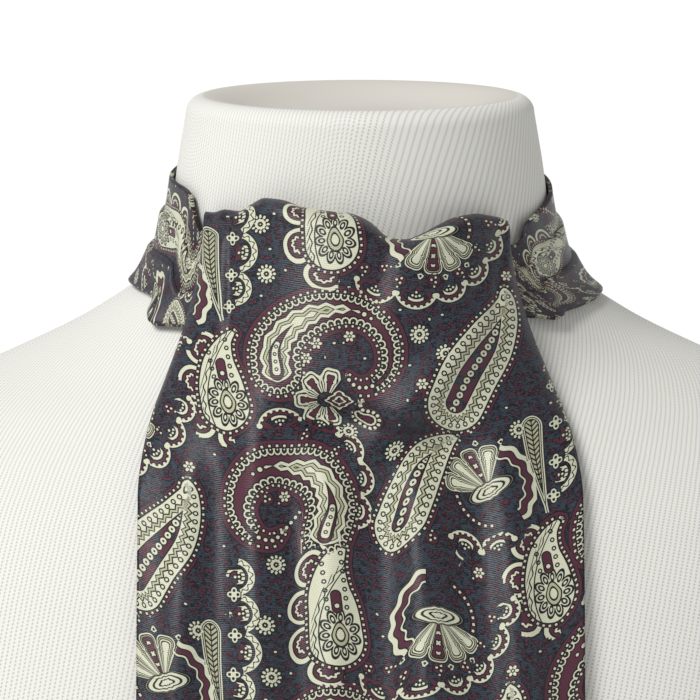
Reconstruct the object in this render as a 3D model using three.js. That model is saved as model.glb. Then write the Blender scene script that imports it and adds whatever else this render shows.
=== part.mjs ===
// A silk cravat tied round the neck of a headless, limbless bust form.
// Millimetres, +Z up, the front faces -Y. The origin is the centre of the form's flat underside.
// "Depth" is the distance in front of the neck's axis, so a point's y is minus its depth.
import * as THREE from "three";

// Cloth: two plies of silk twill sewn together, thicker where the pleats are pressed on each other
const PLY = 1.4;
const PLEATED = 2.4;
const GAP = 0.9;

// The bust form: neck top to waist, with the ridge line where each section is widest
const FORM_TOP = 494;
const RIM_RADIUS = 6;
const DISH_DEPTH = 7;
const BASE_EDGE = 5;
const FORM_SEGMENTS = 40;
const formSections = [
  { z: 0, halfWidth: 154, front: 101, back: 86, ridge: 0, power: 2.3 },
  { z: 80, halfWidth: 161, front: 105, back: 89, ridge: 0, power: 2.3 },
  { z: 150, halfWidth: 174, front: 111, back: 97, ridge: 0, power: 2.3 },
  { z: 210, halfWidth: 188, front: 116, back: 104, ridge: 1, power: 2.3 },
  { z: 260, halfWidth: 198, front: 118, back: 108, ridge: 2, power: 2.3 },
  { z: 300, halfWidth: 204, front: 115, back: 108, ridge: 4, power: 2.25 },
  { z: 335, halfWidth: 205, front: 108, back: 104, ridge: 6, power: 2.15 },
  { z: 360, halfWidth: 200, front: 100, back: 99, ridge: 8, power: 2.0 },
  { z: 377, halfWidth: 187, front: 92.5, back: 94.5, ridge: 10, power: 1.85 },
  { z: 391, halfWidth: 163, front: 85.5, back: 90, ridge: 11, power: 1.75 },
  { z: 406, halfWidth: 127, front: 78, back: 84, ridge: 12, power: 1.7 },
  { z: 422, halfWidth: 95, front: 70.5, back: 77, ridge: 11, power: 1.75 },
  { z: 436, halfWidth: 76.5, front: 65.5, back: 71, ridge: 8, power: 1.9 },
  { z: 450, halfWidth: 69.5, front: 63, back: 66, ridge: 4, power: 2.0 },
  { z: 460, halfWidth: 66.9, front: 62.2, back: 62.8, ridge: 1, power: 2.0 },
  { z: 475, halfWidth: 64.8, front: 60.8, back: 60.4, ridge: 0, power: 2.0 },
  { z: FORM_TOP, halfWidth: 61.6, front: 58.5, back: 58, ridge: 0, power: 2.0 },
];
const formLevels = [
  0, 40, 80, 120, 160, 200, 235, 265, 290, 312, 332, 348, 361, 372, 381, 390, 398, 405, 411, 417, 422, 427,
  431, 435, 439, 443, 448, 454, 462, 473, 484, FORM_TOP,
];

// The blade's crest, the soft roll over the knot: three humps with a crease and a notch between them
const crestLine = [
  { x: -54, z: 463.6 },
  { x: -49.5, z: 463.8 },
  { x: -45.5, z: 465.4 },
  { x: -41, z: 465.3 },
  { x: -37, z: 468 },
  { x: -32, z: 470.8 },
  { x: -27, z: 470.6 },
  { x: -19, z: 468.4 },
  { x: -10, z: 467.5 },
  { x: -4.5, z: 467 },
  { x: 0.5, z: 465.3 },
  { x: 4, z: 463 },
  { x: 7.6, z: 459.4 },
  { x: 11, z: 458.1 },
  { x: 15, z: 457.9 },
  { x: 20, z: 459.4 },
  { x: 26, z: 462.2 },
  { x: 32, z: 464.4 },
  { x: 38, z: 464.9 },
  { x: 44, z: 463.4 },
  { x: 51, z: 460.5 },
];
const CREST_MIDDLE = -1.5;
const CREST_HALF = 51.5;
const CREST_RISE = 7;
const CREST_SQUARENESS = 0.75;

// The front blade hanging from its crest: how far it puffs out over the knot, and how that falls away
// 50 mm to each side; the half width that shows, and the half width of the cloth, whose spare edge curls
// back under on a radius
const puff = [
  { z: 175, depth: 60, fall: 0 },
  { z: 340, depth: 96, fall: 3 },
  { z: 370, depth: 99.5, fall: 5 },
  { z: 385, depth: 98.5, fall: 7 },
  { z: 400, depth: 97, fall: 11 },
  { z: 415, depth: 95, fall: 17 },
  { z: 430, depth: 92, fall: 23 },
  { z: 445, depth: 88.5, fall: 28 },
  { z: 460, depth: 84, fall: 30.5 },
  { z: 475, depth: 78, fall: 30.5 },
];
const PUFF_POWER = 2.3;
const bladeWidths = [
  { z: 175, shown: 96, cloth: 75, curl: 10 },
  { z: 350, shown: 92, cloth: 75, curl: 10 },
  { z: 372, shown: 82, cloth: 75, curl: 8 },
  { z: 390, shown: 74, cloth: 73, curl: 6.5 },
  { z: 410, shown: 65, cloth: 69, curl: 5.5 },
  { z: 430, shown: 57.5, cloth: 62.5, curl: 4.5 },
  { z: 448, shown: 53, cloth: 56, curl: 3.5 },
  { z: 462, shown: CREST_HALF, cloth: 52.5, curl: 3 },
];
const BLADE_TIP = 175;
const BLADE_POINT = 70;
const BLADE_LIFT = 3.8;
const BLADE_START = 441.3;
const BLADE_START_HALF = 21;

// Its largest folds: a soft ridge, or a trough where the height is negative, from one end to the other
const bladeFolds = [
  { fromX: -40.6, fromZ: 470, toX: -50, toZ: 458, height: -2.6, width: 2.4 },
  { fromX: -43, fromZ: 461, toX: -43.5, toZ: 432, height: -3, width: 3.6 },
  { fromX: -48, fromZ: 458, toX: -47.5, toZ: 434, height: 1.2, width: 2.4 },
  { fromX: 10, fromZ: 460, toX: 5, toZ: 445, height: -3, width: 6 },
  { fromX: 49, fromZ: 460, toX: 45, toZ: 432, height: -1.6, width: 2.2 },
  { fromX: 48, fromZ: 461, toX: 37, toZ: 436, height: -1.1, width: 2.4 },
  { fromX: 31, fromZ: 421, toX: 9, toZ: 397.5, height: 4.6, width: 7.5 },
  { fromX: 26, fromZ: 391.5, toX: -12, toZ: 401, height: -6.5, width: 6.5 },
  { fromX: -22, fromZ: 395, toX: -6, toZ: 364, height: 1.8, width: 8 },
  { fromX: -58, fromZ: 376, toX: -64, toZ: 262, height: 4.2, width: 7 },
  { fromX: -36, fromZ: 388, toX: -31, toZ: 238, height: 6.2, width: 9 },
  { fromX: -11, fromZ: 372, toX: -7, toZ: 222, height: 4.4, width: 7.5 },
  { fromX: 20, fromZ: 368, toX: 29, toZ: 222, height: 6.4, width: 9.5 },
  { fromX: 49, fromZ: 380, toX: 59, toZ: 258, height: 4.6, width: 7.5 },
];

// The pleated band round the neck: degrees round from the front to the left, the height of its top edge,
// how tall it is, and how far its inner face stands off the neck
const bandStations = [
  { turn: 27.5, top: 457, tall: 29, off: 2.8 },
  { turn: 40, top: 457.4, tall: 32, off: 2.8 },
  { turn: 50, top: 457.2, tall: 33, off: 2.9 },
  { turn: 55.5, top: 463, tall: 36, off: 2.7 },
  { turn: 60, top: 468.6, tall: 37, off: 1.7 },
  { turn: 68, top: 470.4, tall: 38, off: GAP },
  { turn: 90, top: 471.6, tall: 39, off: GAP },
  { turn: 130, top: 475.5, tall: 40, off: GAP },
  { turn: 180, top: 476.5, tall: 40, off: GAP },
  { turn: 230, top: 473.5, tall: 40, off: GAP },
  { turn: 270, top: 467.6, tall: 38, off: GAP },
  { turn: 292, top: 462.6, tall: 34, off: GAP },
  { turn: 305, top: 459.3, tall: 31, off: 2.5 },
  { turn: 310.5, top: 453.4, tall: 27, off: 2.9 },
  { turn: 320, top: 452.5, tall: 24, off: 2.8 },
  { turn: 333.5, top: 453, tall: 24, off: 2.8 },
];
// Its knife pleats: the share of the height at which each folded upper edge lies over the pleat above
const pleatEdges = [0.36, 0.7];
const BAND_FLARE = 0.6;
const PLEAT_STEP = 1.5;
const PLEAT_SHARPNESS = 0.05;

// The ribbons of the knot: the middle of the cloth across and up, the direction of its width in degrees,
// its half width, how far it stands off the form, and its thickness
const wrapPath = [
  { x: -29.6, z: 445.5, across: 90, half: 14.5, off: 4.1, thick: PLEATED },
  { x: -22, z: 445, across: 87, half: 14.8, off: 6.6, thick: PLEATED },
  { x: -8, z: 441, across: 74, half: 15, off: 9, thick: PLEATED },
  { x: 6, z: 433, across: 48, half: 15, off: 9.6, thick: PLEATED },
  { x: 16.5, z: 423.3, across: 14, half: 14, off: 8.8, thick: PLEATED },
  { x: 19, z: 418.2, across: 2, half: 13.5, off: 5.4, thick: PLEATED },
  { x: 19, z: 420.5, across: 0, half: 13.5, off: 2, thick: 1.6 },
  { x: 13, z: 430, across: 0, half: 15, off: 1.4, thick: PLY },
  { x: 6, z: 440.8, across: 0, half: 20, off: 1.4, thick: PLY },
];
const underPath = [
  { x: 28, z: 442.8, across: 90, half: 11.5, off: 4.2, thick: PLEATED },
  { x: 14, z: 439.6, across: 97, half: 11, off: 4.6, thick: PLEATED },
  { x: 0, z: 435, across: 118, half: 12.5, off: 4.6, thick: PLEATED },
  { x: -11, z: 425, across: 148, half: 13, off: 3, thick: PLEATED },
  { x: -16, z: 411, across: 172, half: 16, off: 2.4, thick: 2 },
  { x: -15, z: 396, across: 180, half: 23, off: 2, thick: PLY },
  { x: -12, z: 378, across: 180, half: 37, off: 1.4, thick: PLY },
  { x: -8, z: 355, across: 180, half: 53, off: 1.5, thick: PLY },
  { x: -5, z: 330, across: 180, half: 64, off: 1.5, thick: PLY },
  { x: -4, z: 305, across: 180, half: 69, off: 1.5, thick: PLY },
  { x: -4, z: 285, across: 180, half: 70, off: 1.5, thick: PLY },
];
const UNDER_TIP = 214;

// A smooth curve through a table's rows that never overshoots them: a cubic whose slope at each row is
// the harmonic mean of the slopes on its two sides.
function curve(rows, input, output) {
  const x = rows.map((row) => row[input]);
  const y = rows.map((row) => row[output]);
  const last = x.length - 1;
  const slopes = x.slice(1).map((next, i) => (y[i + 1] - y[i]) / (next - x[i]));
  const tangents = x.map((_, i) => {
    if (i === 0) return slopes[0];
    if (i === last) return slopes[last - 1];
    const product = slopes[i - 1] * slopes[i];
    return product <= 0 ? 0 : (2 * product) / (slopes[i - 1] + slopes[i]);
  });
  return (wanted) => {
    const at = Math.min(Math.max(wanted, x[0]), x[last]);
    let i = 0;
    while (i < last - 1 && at > x[i + 1]) i += 1;
    const step = x[i + 1] - x[i];
    const t = (at - x[i]) / step;
    const rise = y[i + 1] - y[i];
    const bend = (t - 1) * (tangents[i] * step - rise) + t * (tangents[i + 1] * step - rise);
    return y[i] + rise * t + t * (t - 1) * bend;
  };
}

// Every column of a table as a curve of its first column
function curves(rows, input) {
  const made = {};
  for (const output of Object.keys(rows[0])) made[output] = curve(rows, input, output);
  return made;
}

const form = curves(formSections, "z");
const crestHeight = curve(crestLine, "x", "z");
const puffed = curves(puff, "z");
const widths = curves(bladeWidths, "z");
const band = curves(bandStations, "turn");

// The larger of two values, with the corner between them rounded
function softMax(a, b, rounding) {
  return (a + b + Math.hypot(a - b, rounding)) / 2;
}

function smoothStep(low, high, at) {
  const t = Math.min(Math.max((at - low) / (high - low), 0), 1);
  return t * t * (3 - 2 * t);
}

// The depth of the form's front at a place, with its section grown by "out" all round
function frontDepth(x, z, out) {
  const power = form.power(z);
  const share = Math.min(Math.abs(x) / (form.halfWidth(z) + out), 0.999) ** power;
  const reach = form.ridge(z) + form.front(z) + out;
  return reach * (1 - share) ** (1 / power) - form.ridge(z);
}

// A point of the form's section at a turn from the front towards the left, grown by "out" and shrunk by a scale
function sectionPoint(turn, z, out, level = z, scale = 1) {
  const power = form.power(z);
  const side = -Math.sin(turn);
  const ahead = Math.cos(turn);
  const ridge = form.ridge(z);
  const reach = (ahead > 0 ? ridge + form.front(z) : form.back(z) - ridge) + out;
  const stretch = (value) => Math.sign(value) * Math.abs(value) ** (2 / power);
  const x = (form.halfWidth(z) + out) * stretch(side) * scale;
  return new THREE.Vector3(x, ridge - reach * stretch(ahead) * scale, level);
}

// A closed geometry from triangles given as corner points, turned so that its faces point out
function closedGeometry(triangles) {
  let volume = 0;
  for (const [a, b, c] of triangles) volume += a.dot(b.clone().cross(c)) / 6;
  const positions = [];
  for (const [a, b, c] of triangles) {
    for (const corner of volume > 0 ? [a, b, c] : [a, c, b]) positions.push(corner.x, corner.y, corner.z);
  }
  const geometry = new THREE.BufferGeometry();
  geometry.setAttribute("position", new THREE.Float32BufferAttribute(positions, 3));
  geometry.computeVertexNormals();
  return geometry;
}

function addQuad(triangles, a, b, c, d) {
  triangles.push([a, b, c], [a, c, d]);
}

// A wall between two grids of points of the same size, closed round its edge
function wallGeometry(outer, inner) {
  const triangles = [];
  const rows = outer.length - 1;
  const columns = outer[0].length - 1;
  for (let i = 0; i < rows; i += 1) {
    for (let j = 0; j < columns; j += 1) {
      addQuad(triangles, outer[i][j], outer[i][j + 1], outer[i + 1][j + 1], outer[i + 1][j]);
      addQuad(triangles, inner[i][j], inner[i + 1][j], inner[i + 1][j + 1], inner[i][j + 1]);
    }
    addQuad(triangles, outer[i][0], outer[i + 1][0], inner[i + 1][0], inner[i][0]);
    addQuad(triangles, outer[i][columns], inner[i][columns], inner[i + 1][columns], outer[i + 1][columns]);
  }
  for (let j = 0; j < columns; j += 1) {
    addQuad(triangles, outer[0][j], inner[0][j], inner[0][j + 1], outer[0][j + 1]);
    addQuad(triangles, outer[rows][j], outer[rows][j + 1], inner[rows][j + 1], inner[rows][j]);
  }
  return closedGeometry(triangles);
}

// A wall of a thickness with this grid of points in its middle, set off along the surface's own normals
function clothGeometry(middle, thickness) {
  const rows = middle.length - 1;
  const columns = middle[0].length - 1;
  const normalAt = (i, j) => {
    const along = middle[Math.min(i + 1, rows)][j].clone().sub(middle[Math.max(i - 1, 0)][j]);
    const across = middle[i][Math.min(j + 1, columns)].clone().sub(middle[i][Math.max(j - 1, 0)]);
    return across.cross(along).normalize();
  };
  const offset = (side) =>
    middle.map((row, i) =>
      row.map((point, j) => point.clone().addScaledVector(normalAt(i, j), (side * thickness(i)) / 2)),
    );
  return wallGeometry(offset(1), offset(-1));
}

function evenly(count, from, to) {
  return Array.from({ length: count + 1 }, (_, i) => from + ((to - from) * i) / count);
}

// The bust form: a waist-length torso and neck with a rounded rim and a shallow dish in its top
function bustFormGeometry() {
  const rings = [];
  const ring = (z, out, level, scale) =>
    evenly(FORM_SEGMENTS, 0, 2 * Math.PI)
      .slice(0, -1)
      .map((turn) => sectionPoint(turn, z, out, level, scale));
  rings.push(ring(0, -BASE_EDGE, 0));
  rings.push(ring(0, 0, BASE_EDGE));
  for (const z of formLevels.slice(1)) rings.push(ring(z, 0));
  for (const lean of [30, 60, 90]) {
    const angle = (lean * Math.PI) / 180;
    rings.push(
      ring(FORM_TOP, -RIM_RADIUS * (1 - Math.cos(angle)), FORM_TOP + RIM_RADIUS * Math.sin(angle)),
    );
  }
  for (const share of [0.93, 0.84, 0.6, 0.3]) {
    const sunk = DISH_DEPTH * (1 - smoothStep(0.5, 1, share));
    rings.push(ring(FORM_TOP, -RIM_RADIUS, FORM_TOP + RIM_RADIUS - sunk, share));
  }
  const triangles = [];
  const next = (j) => (j + 1) % FORM_SEGMENTS;
  for (let i = 0; i < rings.length - 1; i += 1) {
    for (let j = 0; j < FORM_SEGMENTS; j += 1) {
      addQuad(triangles, rings[i][j], rings[i][next(j)], rings[i + 1][next(j)], rings[i + 1][j]);
    }
  }
  const underside = new THREE.Vector3(0, 0, 0);
  const dish = new THREE.Vector3(0, 0, FORM_TOP + RIM_RADIUS - DISH_DEPTH);
  const lowest = rings[0];
  const inmost = rings[rings.length - 1];
  for (let j = 0; j < FORM_SEGMENTS; j += 1) {
    triangles.push([underside, lowest[next(j)], lowest[j]]);
    triangles.push([dish, inmost[j], inmost[next(j)]]);
  }
  return closedGeometry(triangles);
}

// How far the pleats stand out at a share of the band's height from its top: each steps out at its
// folded edge and eases back before the next
function pleatRelief(share) {
  let relief = 0;
  pleatEdges.forEach((edge, i) => {
    const next = pleatEdges[i + 1] ?? 1.05;
    const stepped = smoothStep(edge - PLEAT_SHARPNESS, edge, share);
    relief += PLEAT_STEP * stepped * (1 - 0.8 * smoothStep(edge, next, share));
  });
  return relief;
}

function neckBandGeometry() {
  const turns = evenly(56, bandStations[0].turn, bandStations[bandStations.length - 1].turn);
  const shares = [0, 0.16, 0.31, 0.36, 0.5, 0.65, 0.7, 0.85, 1];
  const face = (outside) =>
    turns.map((turn) =>
      shares.map((share) => {
        const z = band.top(turn) - band.tall(turn) * share;
        const out = band.off(turn) + BAND_FLARE * share + (outside ? PLY + pleatRelief(share) : 0);
        return sectionPoint((turn * Math.PI) / 180, z, out);
      }),
    );
  return wallGeometry(face(true), face(false));
}

// A fold's height at a place: a bell across it that fades out towards both its ends
function foldRelief(x, z) {
  let relief = 0;
  for (const fold of bladeFolds) {
    const dx = fold.toX - fold.fromX;
    const dz = fold.toZ - fold.fromZ;
    const length = Math.hypot(dx, dz);
    const along = ((x - fold.fromX) * dx + (z - fold.fromZ) * dz) / length ** 2;
    const across = ((x - fold.fromX) * dz - (z - fold.fromZ) * dx) / length / fold.width;
    const beyond = (Math.max(-along, along - 1, 0) * length) / (2 * fold.width);
    relief += fold.height * Math.exp(-(across ** 2) - beyond ** 2);
  }
  return relief;
}

// The depth of the front blade's middle surface: the puff over the knot with its folds, never closer to
// the form's chest than the cloth beneath it allows
function bladeDepth(x, z) {
  const hanging = puffed.depth(z) - puffed.fall(z) * Math.abs(x / 50) ** PUFF_POWER + foldRelief(x, z);
  const ridges = Math.max(foldRelief(x, z), 0) * smoothStep(385, 365, z);
  return softMax(hanging, frontDepth(x, z, BLADE_LIFT) + ridges, 4);
}

// A point of the front blade that hangs in front, from its place across the cloth (-1 to 1) and its height.
// Cloth wider than what shows turns back under round the curl.
function hangingPoint(u, z, crest) {
  const place = u * widths.cloth(z);
  const radius = widths.curl(z);
  const straight = widths.shown(z) - radius;
  const turn = Math.max(Math.abs(place) - straight, 0) / radius;
  const middle = CREST_MIDDLE * smoothStep(360, 450, z);
  const flat = Math.min(Math.abs(place), straight) + radius * Math.sin(Math.min(turn, Math.PI));
  const x = middle + Math.sign(u) * flat;
  const back = radius * (1 - Math.cos(Math.min(turn, Math.PI)));
  const eased = back * smoothStep(crest, crest - 22, z);
  return new THREE.Vector3(x, -(bladeDepth(x, z) - eased), z);
}

function frontBladeGeometry() {
  const columns = evenly(32, -1, 1);
  const rising = evenly(3, 0, 1).slice(0, -1);
  const rolling = evenly(7, 0, 1).slice(0, -1);
  const falling = evenly(25, 0, 1);
  const crests = columns.map((u) => crestHeight(CREST_MIDDLE + u * CREST_HALF));
  const crestX = columns.map((u) => CREST_MIDDLE + u * CREST_HALF);
  const backPoint = (j, share) => {
    const z = BLADE_START + (crests[j] - CREST_RISE - BLADE_START) * share;
    const x = CREST_MIDDLE + columns[j] * (BLADE_START_HALF + (CREST_HALF - BLADE_START_HALF) * share);
    return new THREE.Vector3(x, -frontDepth(x, z, GAP + PLY / 2 + 0.1), z);
  };
  const rollPoint = (j, share) => {
    const low = crests[j] - CREST_RISE;
    const behind = backPoint(j, 1);
    const ahead = hangingPoint(columns[j], low, crests[j]);
    const angle = Math.PI * share;
    const mix = (1 - Math.cos(angle)) / 2;
    const across = behind.x + (ahead.x - behind.x) * mix;
    const y = behind.y + (ahead.y - behind.y) * mix;
    return new THREE.Vector3(across, y, low + CREST_RISE * Math.sin(angle) ** CREST_SQUARENESS);
  };
  const fallPoint = (j, share) => {
    const high = crests[j] - CREST_RISE;
    const end = BLADE_TIP + BLADE_POINT * Math.abs(columns[j]);
    return hangingPoint(columns[j], high - (high - end) * share ** 1.35, crests[j]);
  };
  const row = (place, share) => crestX.map((_, j) => place(j, share));
  const middle = [
    ...rising.map((share) => row(backPoint, share)),
    ...rolling.map((share) => row(rollPoint, share)),
    ...falling.map((share) => row(fallPoint, share)),
  ];
  return clothGeometry(middle, () => PLY);
}

// A ribbon of cloth that follows a path over the form's front, ending square or in a point
function ribbonGeometry(path, steps, columns, tip) {
  const numbered = path.map((row, i) => ({ at: i, ...row }));
  const along = curves(numbered, "at");
  const stations = evenly(steps, 0, path.length - 1);
  const across = evenly(columns, -1, 1);
  const middle = stations.map((at) =>
    across.map((k) => {
      const angle = (along.across(at) * Math.PI) / 180;
      const x = along.x(at) + k * along.half(at) * Math.cos(angle);
      const z = along.z(at) + k * along.half(at) * Math.sin(angle);
      return new THREE.Vector3(x, -frontDepth(x, z, along.off(at)), z);
    }),
  );
  const thickness = stations.map((at) => along.thick(at));
  if (tip) {
    const lastRow = path[path.length - 1];
    for (const share of evenly(5, 0, 1).slice(1)) {
      middle.push(
        across.map((k) => {
          const x = lastRow.x + -k * lastRow.half;
          const end = lastRow.z - (lastRow.z - tip) * (1 - Math.abs(k));
          const z = lastRow.z + (end - lastRow.z) * share - 0.5 * share;
          return new THREE.Vector3(x, -frontDepth(x, z, lastRow.off), z);
        }),
      );
      thickness.push(lastRow.thick);
    }
  }
  return clothGeometry(middle, (i) => thickness[i]);
}

const silk = new THREE.MeshStandardMaterial({ color: 0x2f3742, roughness: 0.42, metalness: 0 });
const silkInside = new THREE.MeshStandardMaterial({ color: 0x4a4f4c, roughness: 0.5, metalness: 0 });
const jersey = new THREE.MeshStandardMaterial({ color: 0xe2e1da, roughness: 0.9, metalness: 0 });

const cravatOnForm = new THREE.Group();
function addPiece(name, geometry, material) {
  const mesh = new THREE.Mesh(geometry, material);
  mesh.name = name;
  cravatOnForm.add(mesh);
}

addPiece("bust_form", bustFormGeometry(), jersey);
addPiece("neck_band", neckBandGeometry(), silk);
addPiece("knot_wrap", ribbonGeometry(wrapPath, 30, 6, null), silkInside);
addPiece("under_blade", ribbonGeometry(underPath, 26, 12, UNDER_TIP), silkInside);
addPiece("front_blade", frontBladeGeometry(), silk);

export default cravatOnForm;
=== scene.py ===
"""A printed silk cravat worn on a limbless jersey-covered bust form.

Sizes are millimetres in the part's own frame (+Z up, the front faces -Y, the origin in the middle of
the form's flat underside) and turn to metres when a mesh is made. "Depth" is the distance in front of
the neck's axis, so a point's y is minus its depth. Every shape is a function of two parameters on a
grid, worked out as whole arrays.
"""

import ast
import logging
import math
import operator
from collections.abc import Callable
from dataclasses import dataclass, field
from enum import Enum

import bpy
import numpy as np
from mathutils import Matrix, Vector

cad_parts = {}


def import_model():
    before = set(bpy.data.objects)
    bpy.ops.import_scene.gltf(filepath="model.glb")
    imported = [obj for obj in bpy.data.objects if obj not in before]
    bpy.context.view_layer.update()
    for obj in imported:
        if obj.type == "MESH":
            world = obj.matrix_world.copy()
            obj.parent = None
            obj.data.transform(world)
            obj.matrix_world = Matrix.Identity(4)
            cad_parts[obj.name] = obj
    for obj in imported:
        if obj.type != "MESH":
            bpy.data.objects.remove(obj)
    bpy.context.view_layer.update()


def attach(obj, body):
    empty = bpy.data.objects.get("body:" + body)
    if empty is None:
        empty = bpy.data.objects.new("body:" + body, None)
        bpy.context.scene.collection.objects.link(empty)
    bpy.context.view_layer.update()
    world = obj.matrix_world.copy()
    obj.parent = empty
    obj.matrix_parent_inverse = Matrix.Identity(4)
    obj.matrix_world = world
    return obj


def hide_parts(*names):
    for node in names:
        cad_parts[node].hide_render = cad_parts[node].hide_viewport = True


log = logging.getLogger("cravat")

# A number or a colour, each of them as it is or as the socket that gives it.
Value = float | bpy.types.NodeSocket
Colour = tuple[float, float, float, float] | bpy.types.NodeSocket

# Turns millimetres to metres.
MM = 0.001

# The silk's thickness as worn, its thickness where pleats lie on each other, and the gap under it.
PLY = 1.4
PLEATED = 2.4
GAP = 0.9

# How far the fold along a wall's edge reaches past its faces, as a share of the thickness.
FOLD_REACH = 0.4

# The cloth's UV map, and the attributes that say where a corner lies in its ornament.
CLOTH_MAP = "cloth_mm"
ORNAMENT_LAYERS = {"ornament_edge": ("along", "inside", "size"), "ornament_place": ("x", "y", "kind")}


# Curves and shared formulas.


class Curve:
    """A smooth curve through a table's rows that never overshoots them.

    Between two rows it is the cubic whose slope at each row is the harmonic mean of the straight slopes
    on its two sides, or 0 where they differ in sign.
    """

    def __init__(self, inputs: tuple[float, ...], outputs: tuple[float, ...]) -> None:
        """Prepares the curve.

        Args:
            inputs: the rows' places, increasing.
            outputs: the value at each row.
        """
        self.x = np.asarray(inputs, float)
        self.y = np.asarray(outputs, float)
        slopes = np.diff(self.y) / np.diff(self.x)
        before, after = slopes[:-1], slopes[1:]
        product = before * after
        total = np.where(product > 0, before + after, 1.0)
        inner = np.where(product > 0, 2 * product / total, 0.0)
        self.tangents = np.concatenate([slopes[:1], inner, slopes[-1:]])

    def __call__(self, at: np.ndarray | float) -> np.ndarray:
        """Gives the curve's value at each place.

        Args:
            at: places in the first column, held within the table's ends.

        Returns:
            The values.
        """
        wanted = np.clip(at, self.x[0], self.x[-1])
        i = np.clip(np.searchsorted(self.x, wanted, side="right") - 1, 0, len(self.x) - 2)
        step = self.x[i + 1] - self.x[i]
        t = (wanted - self.x[i]) / step
        rise = self.y[i + 1] - self.y[i]
        bend = (t - 1) * (self.tangents[i] * step - rise) + t * (self.tangents[i + 1] * step - rise)
        return self.y[i] + rise * t + t * (t - 1) * bend


class Table:
    """A table with named columns, each of them a Curve of the first one."""

    def __init__(self, names: str, *rows: tuple[float, ...]) -> None:
        """Makes one Curve attribute for each name after the first.

        Args:
            names: the column names, parted by spaces.
            rows: one tuple for each row, in increasing order of the first column.
        """
        columns = list(zip(*rows))
        self.start, self.end = columns[0][0], columns[0][-1]
        for name, column in zip(names.split()[1:], columns[1:]):
            setattr(self, name, Curve(columns[0], column))


def smooth_step(low: float, high: float, at: np.ndarray) -> np.ndarray:
    """Rises from 0 at low to 1 at high, level at both ends: t squared times (3 - 2t)."""
    t = np.clip((at - low) / (high - low), 0, 1)
    return t * t * (3 - 2 * t)


def soft_max(a: np.ndarray, b: np.ndarray, rounding: float) -> np.ndarray:
    """The larger of two values with the corner rounded: half of their sum and their rounded difference."""
    return (a + b + np.hypot(a - b, rounding)) / 2


def power_of(base: np.ndarray, exponent: np.ndarray | float) -> np.ndarray:
    """The base's size raised to a power, with the base's own sign."""
    return np.sign(base) * np.abs(base) ** exponent


# Meshes.


def put_in_scene(name: str, data: bpy.types.ID) -> bpy.types.Object:
    """Makes an object of some data at the origin and links it to the scene.

    Args:
        name: the object's name.
        data: its mesh, camera or light.

    Returns:
        The new object.
    """
    made = bpy.data.objects.new(name, data)
    bpy.context.scene.collection.objects.link(made)
    return made


@dataclass
class Surface:
    """Points, faces and the cloth's own coordinates, ready to become a mesh.

    "fans" are the triangles round a pole. A face whose points all lie flat takes its coordinates from x
    and y instead, so that the cloth isn't drawn together at the pole.
    """

    points: np.ndarray
    quads: np.ndarray
    uv: np.ndarray
    fans: np.ndarray = field(default_factory=lambda: np.empty((0, 3), int))
    flat: np.ndarray | None = None

    def faced_out(self) -> "Surface":
        """Turns every face round if the closed surface's signed volume is negative.

        Returns:
            The surface itself.
        """
        a, b, c, d = (self.points[self.quads[:, k]] for k in range(4))
        volume = np.einsum("ij,ij->", a, np.cross(b, c) + np.cross(c, d))
        if volume < 0:
            self.quads = self.quads[:, ::-1]
            self.fans = self.fans[:, ::-1]
        return self

    def corner_uv(self, faces: np.ndarray) -> np.ndarray:
        """The cloth's coordinates at every corner of some faces.

        Args:
            faces: one row of point numbers for each face.

        Returns:
            One row of two for each corner, face after face.
        """
        chosen = self.uv[faces]
        if self.flat is not None:
            lies = self.flat[faces].all(1)
            chosen[lies] = self.points[faces[lies]][..., :2]
        return chosen.reshape(-1, 2)

    def to_object(self, name: str, material: bpy.types.Material) -> bpy.types.Object:
        """Makes a smooth-shaded mesh object at the origin, in metres, with a UV map in millimetres.

        Args:
            name: the object's name.
            material: its one material.

        Returns:
            The new object.
        """
        mesh = bpy.data.meshes.new(name)
        corners = np.concatenate([self.quads.ravel(), self.fans.ravel()]).astype(np.int32)
        quad_starts = np.arange(0, self.quads.size, 4)
        fan_starts = self.quads.size + np.arange(0, self.fans.size, 3)
        starts = np.concatenate([quad_starts, fan_starts]).astype(np.int32)
        mesh.vertices.add(len(self.points))
        mesh.vertices.foreach_set("co", (self.points * MM).astype(np.float32).ravel())
        mesh.loops.add(len(corners))
        mesh.loops.foreach_set("vertex_index", corners)
        mesh.polygons.add(len(starts))
        mesh.polygons.foreach_set("loop_start", starts)
        mesh.polygons.foreach_set("use_smooth", np.ones(len(starts), bool))
        mesh.update(calc_edges=True)
        uv = np.concatenate([self.corner_uv(self.quads), self.corner_uv(self.fans)])
        mesh.uv_layers.new(name=CLOTH_MAP).data.foreach_set("uv", uv.astype(np.float32).ravel())
        mesh.materials.append(material)
        return put_in_scene(name, mesh)


def grid_quads(rows: int, columns: int, first: int = 0, closed: bool = False) -> np.ndarray:
    """The quads of a grid of points numbered row by row.

    Args:
        rows: how many rows of points.
        columns: how many points in a row.
        first: the number of its first point.
        closed: whether each row's last point joins its first.

    Returns:
        One row of four point numbers for each quad.
    """
    i, j = np.meshgrid(np.arange(rows - 1), np.arange(columns if closed else columns - 1), indexing="ij")
    k = (j + 1) % columns
    quads = np.stack([i * columns + j, i * columns + k, (i + 1) * columns + k, (i + 1) * columns + j], -1)
    return quads.reshape(-1, 4) + first


def grid_normals(points: np.ndarray) -> np.ndarray:
    """Unit normals of a grid: the cross product of the steps across and along it.

    Args:
        points: rows by columns of points.

    Returns:
        One normal for each point.
    """
    along = np.gradient(points, axis=0)
    across = np.gradient(points, axis=1)
    normals = np.cross(across, along)
    return normals / np.maximum(np.linalg.norm(normals, axis=-1, keepdims=True), 1e-9)


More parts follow.
